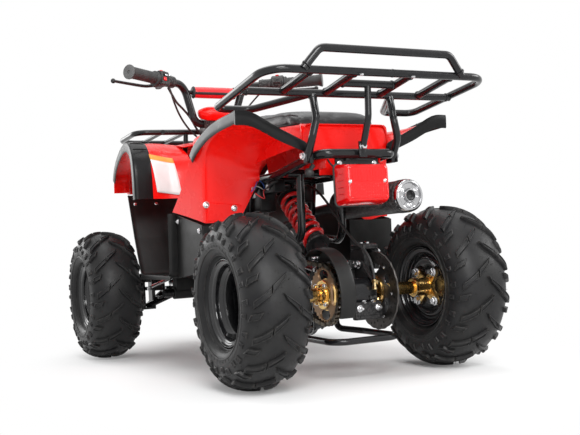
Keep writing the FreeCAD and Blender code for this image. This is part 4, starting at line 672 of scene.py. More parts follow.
def front_fender():
    rows = [smooth_line(line, 5) for line in (nose_edge(0), nose_edge(24), nose_edge(48), nose_points(182, 4, 0),
                                              nose_points(126, 8, 22))]
    Geo().grid(smooth_rows(rows, 5)).both().emit("front_fenders", "red", "front_bodywork", 70, solid=2.6, bevel=0.6)
    rows = [mirrored(cross_line(x, [(y, top - 14 * (y / 132) ** 2.2) for y in (132, 120, 104, 84, 60, 40, 18, 0)]), 1)
            for x, top in ((622, 588), (700, 600), (780, 601), (860, 594), (930, 570), (1000, 530))]

    def off_column(p):
        rel = p - COLUMN_LOW
        return (rel - COLUMN * rel.dot(COLUMN)).length > 36

    Geo().grid(smooth_rows(rows, 4)).cut(off_column).emit("hood", "red", "front_bodywork", 60, solid=2.6, bevel=0.5)
    Geo().revolve([(-6, 44), (-2, 44.5), (2, 42), (3, 36), (0, 33), (-12, 32), (-13, 36), (-6, 40)],
                  COLUMN_LOW + COLUMN * ((592 - COLUMN_LOW.z) / COLUMN.z), COLUMN, 40, closed=True
                  ).emit("column_collar", "rubber", "front_bodywork", 38, slot="black_plastic")
    centre = V(0, 0, 474)
    line = smooth_line(cross_line(0, ((126, 516), (63, 530), (-63, 530), (-126, 516), (-126, 440), (-70, 420),
                                      (70, 420), (126, 440), (126, 516))), 5)[:-1]
    rows = [[V(1002 + bulge, 0, 474) + (p - centre) * k for p in line]
            for k, bulge in ((1.0, 0.0), (0.985, 1.6), (0.94, 2.6), (0.7, 2.8), (0.35, 3.0), (0.02, 3.0))]
    Geo().grid(rows, around=True).cut(
        lambda p: min(hypot(p.y - s * 80, p.z - 474) for s in (1, -1)) > 34
    ).emit("nose_panel", "red", "front_bodywork", 50, solid=2.4)
    Geo().boxes(*(((1005, 0, z), (3, 62, 5), 1) for z in (455, 468, 481, 494))
                ).emit("nose_vent", "black", "front_bodywork", 38)


def front_flare():
    line = smooth_line(nose_edge(0), 5)[:-5]
    normals = [n if n.z > 0 or n.x < 0 else -n for n in line_normals(line)]
    section = ((-46, -0.6), (-46, 1.8), (-43, 3.0), (-24, 3.6), (-8, 3.6), (-1, 3.2), (2.2, 1.8), (3.3, -1.4),
               (3.5, -9), (3.2, -20), (2.0, -22.6), (0.8, -22), (0.5, -17), (0.4, -1))
    Geo().loft([[p + V(0, y, 0) + n * h for y, h in section] for p, n in zip(line, normals)]
               ).both().emit("front_edge_mouldings", "flare", "front_flares", 50)
    ribs = Geo()
    for at in (11, 14):
        ribs.tube([line[at] + V(0, y, 0) + normals[at] * h for y, h in ((-42, 3.2), (-22, 4.4), (-4, 3.8))], 1.3, 8)
    ribs.both().emit("front_moulding_ribs", "flare", "front_flares", 38)


def fender_point(y, z, lift):
    """Point over the rear wall of the front fender at a side and height."""
    inward, outward = max(0, 182 - y) / 56, clamp((y - 182) / 49)
    line = smooth_line([a.lerp(V(b.x, y, b.z), outward) for a, b in
                        zip(nose_points(y, 4 + 4 * inward, 22 * inward), nose_edge(48))], 8)
    for a, b in zip(line, line[1:]):
        if a.z <= z <= b.z:
            d = (b - a).normalized()
            return a.lerp(b, (z - a.z) / (b.z - a.z)) + V(-d.z, 0, d.x) * lift
    return line[0]


def decal():
    """Blank label on the rear wall of the left front fender, with a plain orange band."""
    for name, mat, v0, v1, lift in (("label_white", "white", 0.0, 0.86, 2.4), ("label_band", "orange", 0.86, 1.0, 2.5)):
        rows = []
        for v in (v0 + (v1 - v0) * i / 12 for i in range(13)):
            rows.append([fender_point(222 + 12 * v - 66 * u, (450 + 103 * v) * (1 - u) + (439 + 102 * v) * u, lift)
                         for u in (j / 10 for j in range(11))])
        Geo().grid(rows).emit(name, mat, None, 180, solid=0.4)


def tank():
    rows = []
    for x, half, low, top in ((254, 104, 476, 566.5), (330, 104, 468, 580), (400, 104, 462, 592), (470, 106, 456, 600),
                              (520, 108, 452, 606), (618, 108, 452, 606)):
        tall = top - low
        rows.append(smooth_line(mirrored(cross_line(x, (
            (half + 14, low), (half + 10, low + tall * 0.3), (half + 5, low + tall * 0.55), (half, top - 22),
            (half - 7, top - 10), (half - 17, top - 3), (half - 30, top), (half * 0.3, top + 0.6)))), 2))
    Geo().grid(smooth_rows(rows, 4)).emit("tank_shell", "red", "tank_cover", 70, solid=2.6, bevel=0.5)
    cap = Geo().cyl((520, 0, 606), (520, 0, 612), 30, 40, chamfer=2)
    cap.revolve([(0, 27), (3, 27), (4, 25), (11, 24), (14, 22), (15, 14), (15, 0.01)], (520, 0, 612), Z_AXIS, 40)
    for a in turns(12):
        cap.box((520 + 25 * cos(a), 25 * sin(a), 620), (3.4, 5, 9), Matrix.Rotation(a, 3, "Z"), bevel=0.8)
    cap.emit("filler_cap", "black", "tank_cover", 38)
    Geo().boxes(*(((300 + k * 14, 111.5, 520), (5, 3, 30), 1) for k in range(5))
                ).both().emit("side_vents", "black", "tank_cover", 38)


# Wheels, rear axle, chain and brake

def rim_geo(dish):
    """Pressed rim about the origin, its outer side along +Y: rolled lips, bead seats, well and dished disc."""
    side = [(49.0, 88.9), (52.0, 89.0), (53.3, 88.2), (53.5, 86.9), (52.6, 85.9), (50.2, 85.4), (48.2, 83.8),
            (47.4, 81.0), (46.6, 77.6), (44.6, 76.0), (41.0, 75.2), (35.0, 74.8), (33.0, 73.6), (31.2, 70.4),
            (29.6, 68.6), (27.6, 67.6), (26.4, 65.4), (24.4, 63.9)]
    well = [(-47, 80), (-44, 79), (-34, 78.6), (-28, 67.4), (28, 67.4), (34, 78.6), (44, 79), (47, 80)]
    g = Geo().revolve(side + [(-h, r) for h, r in reversed(side)] + well, n=96, closed=True)
    hub, top, rib, low = (20.6, 74.6, 58.5, 56.0) if dish < 0 else (19.0, 64.0, 52.0, 50.0)
    face = [(dish + h, r) for h, r in (
        (-0.6, top), (1.3, top - 1.2), (1.5, top - 5.5), (-0.6, top - 8), (-1.6, top - 12), (-0.4, rib), (1.5, low),
        (1.6, 32), (0.4, 29.5), (0.4, 24), (1.2, hub + 1), (0.9, hub))]
    return g.revolve(face + [(h - 2.9, r) for h, r in reversed(face)], n=96, closed=True)


def place(geo, x, y, side):
    """Wheel geometry moved to one wheel, turned so that its outer side faces outward."""
    return Geo([V(p.x + x, p.y * side + y, p.z + WHEEL_Z) for p in geo.v],
               [tuple(reversed(f)) for f in geo.f] if side < 0 else geo.f)


def wheels():
    for end, x, half, dish, length in (("rear", 0, REAR_Y, -34.0, 27.0), ("front", WHEELBASE, FRONT_Y, 8.0, 21.0)):
        nuts, cap, ring, valve = Geo(), Geo(), Geo(), Geo()
        for a in turns(4, pi / 4):
            nuts.bolt(polar(45, a, dish + 1.5, z=0), Y_AXIS, 9.5, head="nut")
            ring.cyl(polar(45, a, dish - 4, z=0), polar(45, a, dish + 1.7, z=0), 12, 24, chamfer=0.4)
        tip = dish + length
        cap.revolve([(dish + 1.4, 20.5), (tip - 4, 20.3), (tip - 1.2, 18.8), (tip, 15.5), (tip, 9.5), (tip - 1.6, 8.6),
                     (tip - 1.6, 0.01)], n=48)
        for a in turns(10):
            cap.box(polar(19.8, a, dish + length / 2, z=0), (2.2, length / 2, 3), about_y(-a), bevel=0.5)
        valve.cyl((0, 30, -70), (0, 41, -66), 5.2, 18, r2=4.2, chamfer=0.8)
        valve.cyl((0, 41, -66), (0, 52, -62), 3.4, 16, chamfer=0.6)
        if end == "front":
            ring.revolve([(-63.7, 50), (-63.7, 53.2), (-62.5, 54), (-56, 54), (-55, 55.4), (-51, 55.4), (-50, 54),
                          (-44, 54), (-43, 55.4), (-39, 55.4), (-38, 54), (-30, 54), (-24, 50), (-12, 46), (5.5, 45.5),
                          (5.5, 19), (-36, 19), (-38, 22), (-38, 48), (-40, 49.2)], n=72, closed=True)
            for a in turns(8):
                ring.box(polar(49, a, -26, z=0), (7, 18, 4), about_y(-a), bevel=0.8)
        shell = rim_geo(dish)
        for s, name in SIDES:
            body = "rear_axle" if end == "rear" else "front_wheel_" + name
            for geo, label, mat, smooth in ((shell, "pressed_rim", "rim", 40), (nuts, "wheel_nuts", "bright", 30),
                                            (cap, "hub_cap", "capgrey", 40), (ring, "hub_ring", "rim", 35),
                                            (valve, "valve", "rubber", 38)):
                place(geo, x, s * half, s).emit(f"{label}_{end}_{name}", mat, f"{end}_rim_{name}", smooth, body=body)


def axle():
    half = [(227.5, 0.01), (227.5, 8), (226, 9), (204, 9), (204, 14), (84, 14), (83, 15.2), (76, 15.2), (75, 14),
            (46, 14)]
    g = Geo().revolve([(-h, r) for h, r in half] + half[::-1], AXLE, n=48)
    # Four-armed hub flanges: each arm runs round a big circle at the axle and a small one at the bolt
    lean = acos((15 - 9.8) / 45)
    arm = [(45 + 9.8 * cos(lean * k / 7), 9.8 * sin(lean * k / 7)) for k in range(-7, 8, 2)]
    arm = [(15 * cos(lean), -15 * sin(lean))] + arm + [(15 * cos(lean), 15 * sin(lean))]
    for s in (1, -1):
        g.revolve([(s * h, r) for h, r in (
            (158.5, 14), (158.5, 19.2), (160, 21), (164, 21), (166, 19.4), (184, 19.6), (190, 20.6), (193.5, 21.5),
            (202, 22), (202.2, 14))], AXLE, n=48)
        for a in turns(4, pi / 4):
            rows = []
            for y, k in ((202.2, 1.0), (196.6, 1.0), (194.8, 0.93), (194.4, 0.80)):
                flat = [(24 + (u - 24) * (0.5 + 0.5 * k), w * k) for u, w in arm]
                rows.append([V(cos(a) * u - sin(a) * w, s * y, WHEEL_Z + sin(a) * u + cos(a) * w) for u, w in flat])
            g.loft(rows)
    # Sprocket carrier with a castellated nut, and the disc carrier
    g.revolve([(52, 14), (52, 30), (53, 34), (59.6, 34), (59.6, 14)], AXLE, n=48)
    g.revolve([(66.4, 31), (69, 31), (70, 30), (70, 22.5), (78, 22), (79.6, 20.5), (79.6, 14)], AXLE, n=48)
    for a in turns(6):
        g.box(polar(19.6, a, 78.6), (5.5, 7, 8), about_y(-a), bevel=0.9)
    g.revolve([(-55.8, 14), (-55.8, 32), (-57, 34), (-63.6, 34), (-63.6, 14)], AXLE, n=48)
    g.emit("rear_axle_shaft", "gold", "rear_axle", 35, body="rear_axle")
    nuts = Geo()
    for a in turns(4, pi / 4):
        for s in (1, -1):
            nuts.bolt(polar(45, a, s * 194.4), (0, -s, 0), 10.5)
        nuts.bolt(polar(26.5, a, 70), Y_AXIS, 6.6, washer=False, head="nut")
        nuts.bolt(polar(26.5, a, -55.8), Y_AXIS, 6.6, washer=False)
        nuts.bolt(polar(26.5, a, -68.2), (0, -1, 0), 6.6, washer=False, head="nut")
    nuts.emit("axle_bolts", "bright", "rear_axle", body="rear_axle")


PITCH, CHAIN_Y, DISC_Y = 12.7, 63.0, -66.0
TEETH = 31
BIG_R, SMALL_R = PITCH / (2 * sin(pi / TEETH)), PITCH / (2 * sin(pi / 17))


def chain_track():
    """Closed pitch line of the chain as a function of distance, with a link's step and the number of links."""
    dx, dz = 400.0, 58.0
    span, tilt = hypot(dx, dz), atan2(dz, dx)
    lean = acos((BIG_R - SMALL_R) / span)
    run = sqrt(span ** 2 - (BIG_R - SMALL_R) ** 2)
    up, down, small_arc = tilt + lean, tilt - lean, 2 * lean * SMALL_R
    total = 2 * run + small_arc + (2 * pi - 2 * lean) * BIG_R
    count = 2 * round(total / PITCH / 2)

    def small(t):
        return polar(SMALL_R, t, 0, dx, WHEEL_Z + dz)

    def at(s):
        s %= total
        if s < run:
            return polar(BIG_R, up).lerp(small(up), s / run)
        s -= run
        if s < small_arc:
            return small(up - s / SMALL_R)
        s -= small_arc
        if s < run:
            return small(down).lerp(polar(BIG_R, down), s / run)
        return polar(BIG_R, down - (s - run) / BIG_R)

    return at, total / count, count


def chain_links():
    at, step, count = chain_track()
    plates, rollers = Geo(), Geo()
    for i in range(count):
        a, b = at(i * step), at((i + 1) * step)
        along = (b - a).normalized()
        up = V(-along.z, 0, along.x)
        arcs = [[c + along * cos(t) * 4.7 + up * sin(t) * 4.7 for t in (start + pi * k / 5 for k in range(6))]
                for c, start in ((a, pi / 2), (b, -pi / 2))]
        mid = (a + b) / 2
        ring = arcs[0] + [mid - up * 3.2] + arcs[1] + [mid + up * 3.2]
        for s in (1, -1):
            y = CHAIN_Y + s * (4.0 if i % 2 else 5.6)
            plates.loft([[V(p.x, y + d, p.z) for p in ring] for d in (-0.7, 0.7)])
        for half, r, n in ((3.4, 4.0, 12), (7.0, 1.9, 8)):
            rollers.cyl((a.x, CHAIN_Y - half, a.z), (a.x, CHAIN_Y + half, a.z), r, n)
    plates.emit("chain_plates", "chain", "chain")
    rollers.emit("chain_rollers", "chain", "chain", 40)


def annulus(g, y, low, high, n=180):
    """Flat ring whose inner and outer radius are functions of the angle."""
    return g.grid([[polar(r(t), t, y) for t in turns(n)] for r in (low, high)], around=True)


def chain_wheel():
    at, step, count = chain_track()
    seats = [p for p in (at(i * step) - V(0, 0, WHEEL_Z) for i in range(count)) if abs(p.length - BIG_R) < 0.2]
    seat = seats[len(seats) // 2]
    phase = atan2(seat.z, seat.x)

    def window(t, sign):
        inside = 1 - (abs((t + pi / 4) % (pi / 2) - pi / 4) / 0.52) ** 3
        return 42.5 + (sign * 10.4 * inside ** 0.4 if inside > 0 else 0)

    def teeth(t):
        return 56.4 + 1.9 * max(-0.9, min(0.9, cos(TEETH * (t - phase) + pi) * 1.3))

    g = annulus(Geo(), CHAIN_Y, lambda t: 14.4, lambda t: window(t, -1), TEETH * 24)
    annulus(g, CHAIN_Y, lambda t: window(t, 1), teeth, TEETH * 24)
    g.emit("sprocket_plate", "tan", "sprocket", solid=5.0, bevel=0.35, body="rear_axle", centred=True)


def brake_rotor():
    disc = dict(node="brake_disc", body="rear_axle", slot="bright_steel")
    annulus(Geo(), DISC_Y, lambda t: 58.5 + 1.2 * cos(12 * t), lambda t: 84.4 + 0.6 * cos(24 * t), 360
            ).emit("rotor_ring", "disc", solid=4.0, bevel=0.35, centred=True, **disc)
    # The drilled holes are black plugs through the disc: painted shade where the holes are.
    hole_shade = Geo()
    for i, t in enumerate(turns(36)):
        r = (66, 71.5, 77)[i % 3]
        hole_shade.cyl(polar(r, t, -68.25), polar(r, t, -63.75), 2.6, 14)
    hole_shade.emit("rotor_hole_shade", "black", **disc)
    g = annulus(Geo(), DISC_Y, lambda t: 14.6, lambda t: 39.0, 120)
    for t in turns(6):
        rows = []
        for r, turn, half in ((37.5, 0.0, 15.5), (46, 0.05, 13.0), (53, 0.09, 13.0), (62, 0.12, 18.0)):
            d = polar(1, t + turn, z=0)
            rows.append([d * r + V(-d.z, 0, d.x) * k * half + V(0, DISC_Y, WHEEL_Z) for k in (-1, -0.4, 0.4, 1)])
        g.grid(rows)
    g.emit("rotor_carrier", "satin", solid=3.4, bevel=0.35, centred=True, **disc)
    rivets = Geo()
    for t in turns(6, 0.1):
        rivets.cyl(polar(60.5, t, -69.4), polar(60.5, t, -62.6), 3.6, 18, chamfer=0.5)
    rivets.emit("rotor_rivets", "bright", **disc)


def guard():
    profile = [(y, BIG_R + 36 - d) for y, d in (
        (42.5, 30), (42.5, 5), (43.4, 2), (45.6, 0.4), (49, 0), (75, 0), (78.6, 0.6), (80, 2), (79.8, 3.4), (76, 4),
        (49.5, 4), (46.4, 5.4), (45.4, 8), (45.4, 29.4))]
    n, m = 72, len(profile)
    g = Geo().revolve(profile, AXLE, n=n, closed=True, arc=(radians(-58), radians(-208)))
    g.f += [tuple(range(m)), tuple(range(n * m, n * m + m))]
    lug_line = ((30, 78), (62, 66), (112, 30), (98, 8), (62, 8), (52, 44))
    g.loft([[V(x, y, WHEEL_Z + z) for x, z in lug_line] for y in (42.5, 45.3)])
    g.emit("chain_cover", "black", "chain_guard", 42, bevel=0.6)
    Geo().bolts(((84, 45.4, 202), Y_AXIS, 7), ((66, 45.4, 232), Y_AXIS, 7)).emit("chain_cover_bolts", "bright")


def brake():
    top = WHEEL_Z + 46
    middle = V(43, 0, top + 23)
    outline = side_line(0, ((12, top), (68, top), (74, top + 6), (74, top + 38), (66, top + 45), (22, top + 45),
                            (12, top + 34)))
    g = Geo()
    for y, w in ((-79.5, 13.6), (-53.2, 12.2)):
        g.loft([[V(0, y - w / 2 + d, 0) + middle + (p - middle) * (1 - inset / 32) for p in outline]
                for d, inset in ((0, 2.2), (1.6, 0.4), (w / 2, 0), (w - 1.6, 0.4), (w, 2.2))])
    g.boxes(((43, -66, top + 50), (58, 38, 10.5), 3.4), *(((x, -66, top + 55.6), (7, 30, 3.2), 1.2) for x in (26, 40,
            54)), ((53, -36, top + 12), (25, 21, 19), 2.4), ((56, -31.5, top - 4), (19.4, 31, 35), 2.6))
    g.cyl((43, -86.4, top + 22), (43, -89.5, top + 22), 15, 36, chamfer=1.2)
    g.cyl((43, -89.5, top + 22), (43, -92, top + 22), 9, 30, chamfer=1.0)
    lever = smooth_line([V(24, -49, top + 12), V(4, -45, top + 4), V(-18, -41, top - 13), V(-38, -38, top - 28)], 4)
    g.tube(lever, [5.2] * 5 + [4.6] * 4 + [4.4] * 4, 12)
    g.cyl((24, -60, top + 12), (24, -38, top + 12), 8.5, 24, chamfer=1)
    g.emit("caliper_body", "satin", "brake_caliper", 32, bevel=0.5)
    Geo().bolts(((24, -38, top + 12), Y_AXIS, 9), ((53, -25.4, top + 15), Y_AXIS, 8),
                ((22, -86.4, top + 38), (0, -1, 0), 7.5), ((64, -86.4, top + 8), (0, -1, 0), 7.5),
                ((30, -66, top + 55.4), Z_AXIS, 7), ((56, -66, top + 55.4), Z_AXIS, 7),
                ((45.8, -40, top + 14), REARWARD, 8), ((46, -24, top + 4), REARWARD, 7)
                ).emit("caliper_bolts", "bright", "brake_caliper")
    end = Geo()
    for z0, z1, r, n, chamfer in ((-13.5, -8, 6.2, 24, 0.8), (-8, 8.4, 4.6, 24, 0.8), (2, 5.5, 6.8, 6, 0)):
        end.cyl((-38, -38, top - 28 + z0), (-38, -38, top - 28 + z1), r, n, chamfer=chamfer)
    end.emit("cable_end", "brass", "brake_caliper", 32)


def carrier_bolts():
    b = Geo().bolts(*(((-22, y, 158), (-0.7, 0, -0.7), 7.5) for y in (-40, -18, 18, 40)))
    for x, y, z, size in ((99, 24.6, 256, 9), (290, 21.8, 422, 9), (315, 48, 240, 11)):
        b.bolts(*(((x, s * y, z), (0, s, 0), size) for s in (1, -1)), head="nut")
    b.emit("pivot_bolts", "bright")
    g = Geo()
    for s in (1, -1):
        for a in (radians(200 + 28 * k) for k in range(5)):
            g.box(polar(33, a, s * 36), (6, 14, 6), about_y(-a), bevel=1)
        g.revolve([(s * 44.6, 16), (s * 44.6, 30), (s * 47.4, 30), (s * 48.4, 27), (s * 48.4, 16)], AXLE, n=48,
                  closed=True)
    g.emit("carrier_ribs", "satin", smooth=34)


def damper(name, node, low, high, spring_d, wire, coils, body_d, side=1):
    low, high = Vector(low), Vector(high)
    along, a, b = basis(high - low)
    length = (high - low).length
    start, n = 50.3, coils * 30
    room = length - 30.3 - start - wire
    line = []
    for t in (i / n for i in range(n + 1)):
        angle = 2 * pi * coils * t
        line.append(low + along * (start + wire / 2 + room * (t + 0.012 * sin(2 * pi * t)))
                    + (a * cos(angle) + b * sin(angle)) * (spring_d - wire) / 2)
    Geo().tube(line, wire / 2, 14).sided(side).emit(name + "_spring", "spring", node, 60)
    r, seat, mid, top = body_d / 2, spring_d / 2, length * 0.52, length - 33
    g = Geo().revolve([(10, 6), (14, r - 4), (18, r), (44, r), (44.5, seat - 1), (46, seat), (49, seat),
                       (50, seat - 1.2), (50.2, r), (mid, r), (mid + 2, r - 3), (mid + 2, 7)], low, along, 40)
    for h in range(52, 79, 3):
        g.revolve([(h, r - 0.2), (h + 0.8, r + 0.9), (h + 1.8, r + 0.9), (h + 2.6, r - 0.2)], low, along, 36)
    g.revolve([(top, 8), (top + 3, seat - 2), (top + 3, seat), (top + 6.5, seat), (top + 8, seat - 3), (top + 13, 14),
               (top + 22, 11)], low, along, 40)
    for at in (low, high):
        g.revolve([(-14.8, 6), (-14.8, 12), (-13.8, 13), (13.8, 13), (14.8, 12), (14.8, 6)], at, n=36, closed=True)
    g.sided(side).emit(name + "_body", "satin", node, 36, slot="gloss_black_rim")
    shaft = Geo().cyl(low + along * (length * 0.5), high - along * 12, 6, 24)
    shaft.sided(side).emit(name + "_shaft", "chrome", node, 40)


def dampers():
    damper("rear_damper", "rear_shock", (99, 0, 256), (290, 0, 422), 58, 10, 7, 34)
    for s, name in SIDES:
        damper("front_damper_" + name, "front_shock_" + name, (868, 148, 192), (888, 114, 467), 48, 8, 9, 28, s)


# Lamps and silencer

def rounded_rect(cz, hy, hz, r, n=6):
    pts = []
    for sy, sz, start in ((1, 1, 0), (-1, 1, 90), (-1, -1, 180), (1, -1, 270)):
        for a in (radians(start + 90 * k / n) for k in range(n + 1)):
            pts.append((sy * (hy - r) + r * cos(a), cz + sz * (hz - r) + r * sin(a)))
    return pts


def tail_lamp():
    Geo().loft([cross_line(x, rounded_rect(cz, hy, hz, r)) for x, hy, hz, cz, r in (
        (-59, 57, 42.4, 406, 9), (-62, 57.6, 43, 406, 9), (-66, 57.2, 42.6, 406, 9.5), (-88, 53, 39.6, 407, 9),
        (-95, 50.6, 37.8, 407.4, 9), (-98.6, 47.4, 35.4, 407.6, 8), (-99.4, 44, 32.4, 407.8, 7),
        (-99.6, 30, 20, 408, 5), (-99.7, 6, 4, 408, 2))]).emit("tail_lens", "lens", "tail_light", 50)
    # Moulded optics: a frame line, a step across the middle, and rows of small prisms below it
    p = Geo().tube(cross_line(-99.6, rounded_rect(407.8, 43.6, 32, 6)), 0.9, 8, closed=True)
    p.tube([(-99.8, -42, 411), (-99.9, 42, 411)], 0.9, 8)
    corners = ((-1, -1), (1, -1), (1, 1), (-1, 1))
    for y in range(-39, 40, 6):
        for z in (380.5 + 6 * j for j in range(5)):
            p.loft([cross_line(x, [(y + d * r, z + e * r) for d, e in corners]) for x,
                    r in ((-99.4, 2.6), (-100.2, 0.5))])
    for y in (-38 + 76 * i / 11 for i in range(12)):
        p.tube([(-99.5, y, 414), (-99.5, y, 436)], 0.5, 6)
    for s in (1, -1):
        for z in range(385, 428, 14):
            p.tube([(-70, s * 56.4, z), (-88, s * 53, z + 0.5)], 0.7, 6)
    p.emit("tail_lens_optics", "lens", "tail_light", 45)
    Geo().grid([cross_line(x, rounded_rect(406, hy, hz, 10)) for x, hy, hz in (
        (-58, 59, 44.4), (-58, 60, 45.4), (-60.5, 60, 45.4), (-61.5, 59, 44.4), (-61.5, 57.4, 42.8),
        (-58, 57.4, 42.8))], around=True, along=True).emit("tail_gasket", "rubber", "tail_light", 38)
    Geo().bolts(((-99.2, 44, 410), REARWARD, 5.2), ((-99.2, -39, 411), REARWARD, 5.2), washer=False, head="round"
                ).emit("tail_screws", "bright", "tail_light")


def silencer_end():
    at = V(-84, -102, 379)
    g = Geo().revolve([(0.3, 20), (0.3, 33.2), (1.6, 34.6), (5, 34.9), (9.4, 34.2), (12.4, 32.0), (13.6, 29.4),
                       (13.2, 27.6), (10.6, 26.4), (8.6, 24.8), (8.0, 21.0), (8.0, 15.6), (9.4, 14.2), (13.0, 13.6),
                       (14.4, 12.8), (14.4, 11.4), (13.0, 10.9), (4.0, 10.7)], at, REARWARD, 72)
    for a in turns(3, pi / 2):
        rows = []
        for k in range(9):
            t = a + radians(-26 + 52 * k / 8)
            crest = 3.6 * (0.55 + 0.45 * (1 - abs(k - 4) / 4))
            flat = 0.1 if k in (0, 8) else 1
            rows.append([at + V(-8.2 - lift * flat, -r * cos(t), r * sin(t)) for r, lift in (
                (14.4, 0.0), (15.4, 2.2), (20.5, crest), (25.6, 2.6), (27.2, 0.4))])
        g.grid(rows)
    g.emit("silencer_end_cap", "chrome", "muffler_cap", 36)
    Geo().bolts(*((at + V(-8, -20.6 * cos(a), 20.6 * sin(a)), REARWARD, 5.4) for a in turns(3, pi / 2 + pi / 3)),
                head="round").emit("silencer_end_screws", "bright", "muffler_cap")
    Geo().cyl((-87, -102, 379), (-80, -102, 379), 10.6).emit("silencer_outlet", "stripe", "muffler_cap", 38,
                                                             slot="gloss_black_rim")
    bands = Geo()
    for x in (-80, -66, 176):
        bands.revolve([(-3.5, 34.6), (-3, 35.8), (3, 35.8), (3.5, 34.6)], (x, -102, 379), X_AXIS, 56)
    bands.cyl((186, -102, 378.4), (206, -101.6, 377.5), 30, 48, r2=14, chamfer=2)
    bands.emit("silencer_bands", "satin", smooth=36, slot="gloss_black_rim")
    flange = Geo().cyl((676, -53, 280), (676, -58, 280), 22, 32, chamfer=0.8)
    flange.bolts(((676, -58, 297), (0, -1, 0), 7), ((676, -58, 263), (0, -1, 0), 7), head="nut")
    flange.emit("exhaust_flange", "bright")


def headlamps():
    lens, bowl, bezel = Geo(), Geo(), Geo()
    dome = [(9.4 + 2.6 * cos(pi * i / 24), 34 * i / 12) for i in range(12, 0, -1)]
    for s in (1, -1):
        at = V(1002, 80 * s, 474)
        lens.revolve([(8.6, 34.0)] + dome + [(9.0, 0.01)], at, X_AXIS, 56)
        bowl.revolve([(7, 33.5), (0, 30), (-14, 25), (-26, 17), (-30, 10), (-30, 0.01)], at, X_AXIS, 48)
        bowl.ball(at + V(-16, 0, 0), 5.5)
        bezel.revolve([(0.5, 34), (0.5, 38), (8, 37.9), (10.4, 36.6), (10.8, 35.2), (9.2, 33.9), (3, 33.6)], at, X_AXIS,
                      64, closed=True)
        for y in range(-24, 25, 6):
            h = sqrt(33 ** 2 - y ** 2) - 1
            lens.tube([at + V(10.6, y, -h), at + V(11.5, y, 0), at + V(10.6, y, h)], 0.55, 6)
    lens.emit("headlamp_lenses", "glass", "headlights", 50)
    bowl.emit("headlamp_bowls", "chrome", "headlights", 50)
    bezel.emit("headlamp_rims", "rim", "headlights", 40, slot="black_plastic")


# Soft pieces: seat and cross bar pad

def baked(o):
    """Mesh of an object as its modifiers leave it, with the modifiers gone."""
    mesh = bpy.data.meshes.new_from_object(o.evaluated_get(bpy.context.evaluated_depsgraph_get()))
    o.modifiers.clear()
    return mesh


def puff(geo, name, mat, node, body, voxel, pressure, cap, pin, groove=None):
    """Closed form remeshed, blown up as cloth by a little, and kept as a padded piece."""
    o = add_object(name, new_mesh(name, [out(p) for p in geo.v], geo.f, 1e-5))
    m = o.modifiers.new("remesh", "REMESH")
    m.mode = "VOXEL"
    m.voxel_size = voxel / 1000
    o.data = fine = baked(o)
    start = [v.co.copy() for v in fine.vertices]
    o.vertex_groups.new(name="pin").add([v.index for v in fine.vertices if pin(v.co)], 1.0, "REPLACE")
    s = o.modifiers.new("cloth", "CLOTH").settings
    s.quality = 6
    s.mass = 0.3
    s.tension_stiffness = s.compression_stiffness = 15
    s.bending_stiffness = 1.2
    s.use_pressure = True
    s.uniform_pressure_force = pressure
    s.effector_weights.gravity = 0
    s.vertex_group_mass = "pin"
    for f in range(1, 21):
        bpy.context.scene.frame_set(f)
    done = baked(o)
    for v, a, b in zip(fine.vertices, start, done.vertices):
        d = b.co - a
        if d.length > cap / 1000:
            d *= cap / 1000 / d.length
        v.co = a + d
    bpy.data.meshes.remove(done)
    bpy.context.scene.frame_set(1)
    o.modifiers.new("subdiv", "SUBSURF").levels = 1
    o.data = final = baked(o)
    shade(final, 180)
    for v in final.vertices if groove else ():
        v.co.z -= groove(v.co.x * 1000 + MID_X, v.co.y * 1000, v.co.z * 1000) / 1000
    final.materials.append(M[mat])
    attach(o, body, node, MATERIALS[mat][0])
    return o


def surface_hit(o, origin, direction):
    """Point and normal where a ray, from a place in millimetres, first meets a mesh object."""
    hit, at, normal, _ = o.ray_cast(Vector(out(origin)), Vector(direction))
    return (V(at.x * 1000 + MID_X, at.y * 1000, at.z * 1000), normal) if hit else (None, None)


def seat_groove(x, y, z):
    """Depth of the sewn channels across the seat's top and along both edges."""
    if z < 559.6 + max(0, x - 60) * 0.045 + max(0, x - 160) * 0.125:
        return 0.0
    sink = sum(1.5 * exp(-((x - at - 0.0006 * y * y) / 2.6) ** 2) for at in (74, 104, 134, 164, 194)) * (abs(y) < 76)
    edge = 80 - max(0, x - 200) * 0.19
    return sink + 2.0 * exp(-((x - 252) / 2.6) ** 2) + 1.4 * exp(-((abs(y) - edge) / 2.4) ** 2)


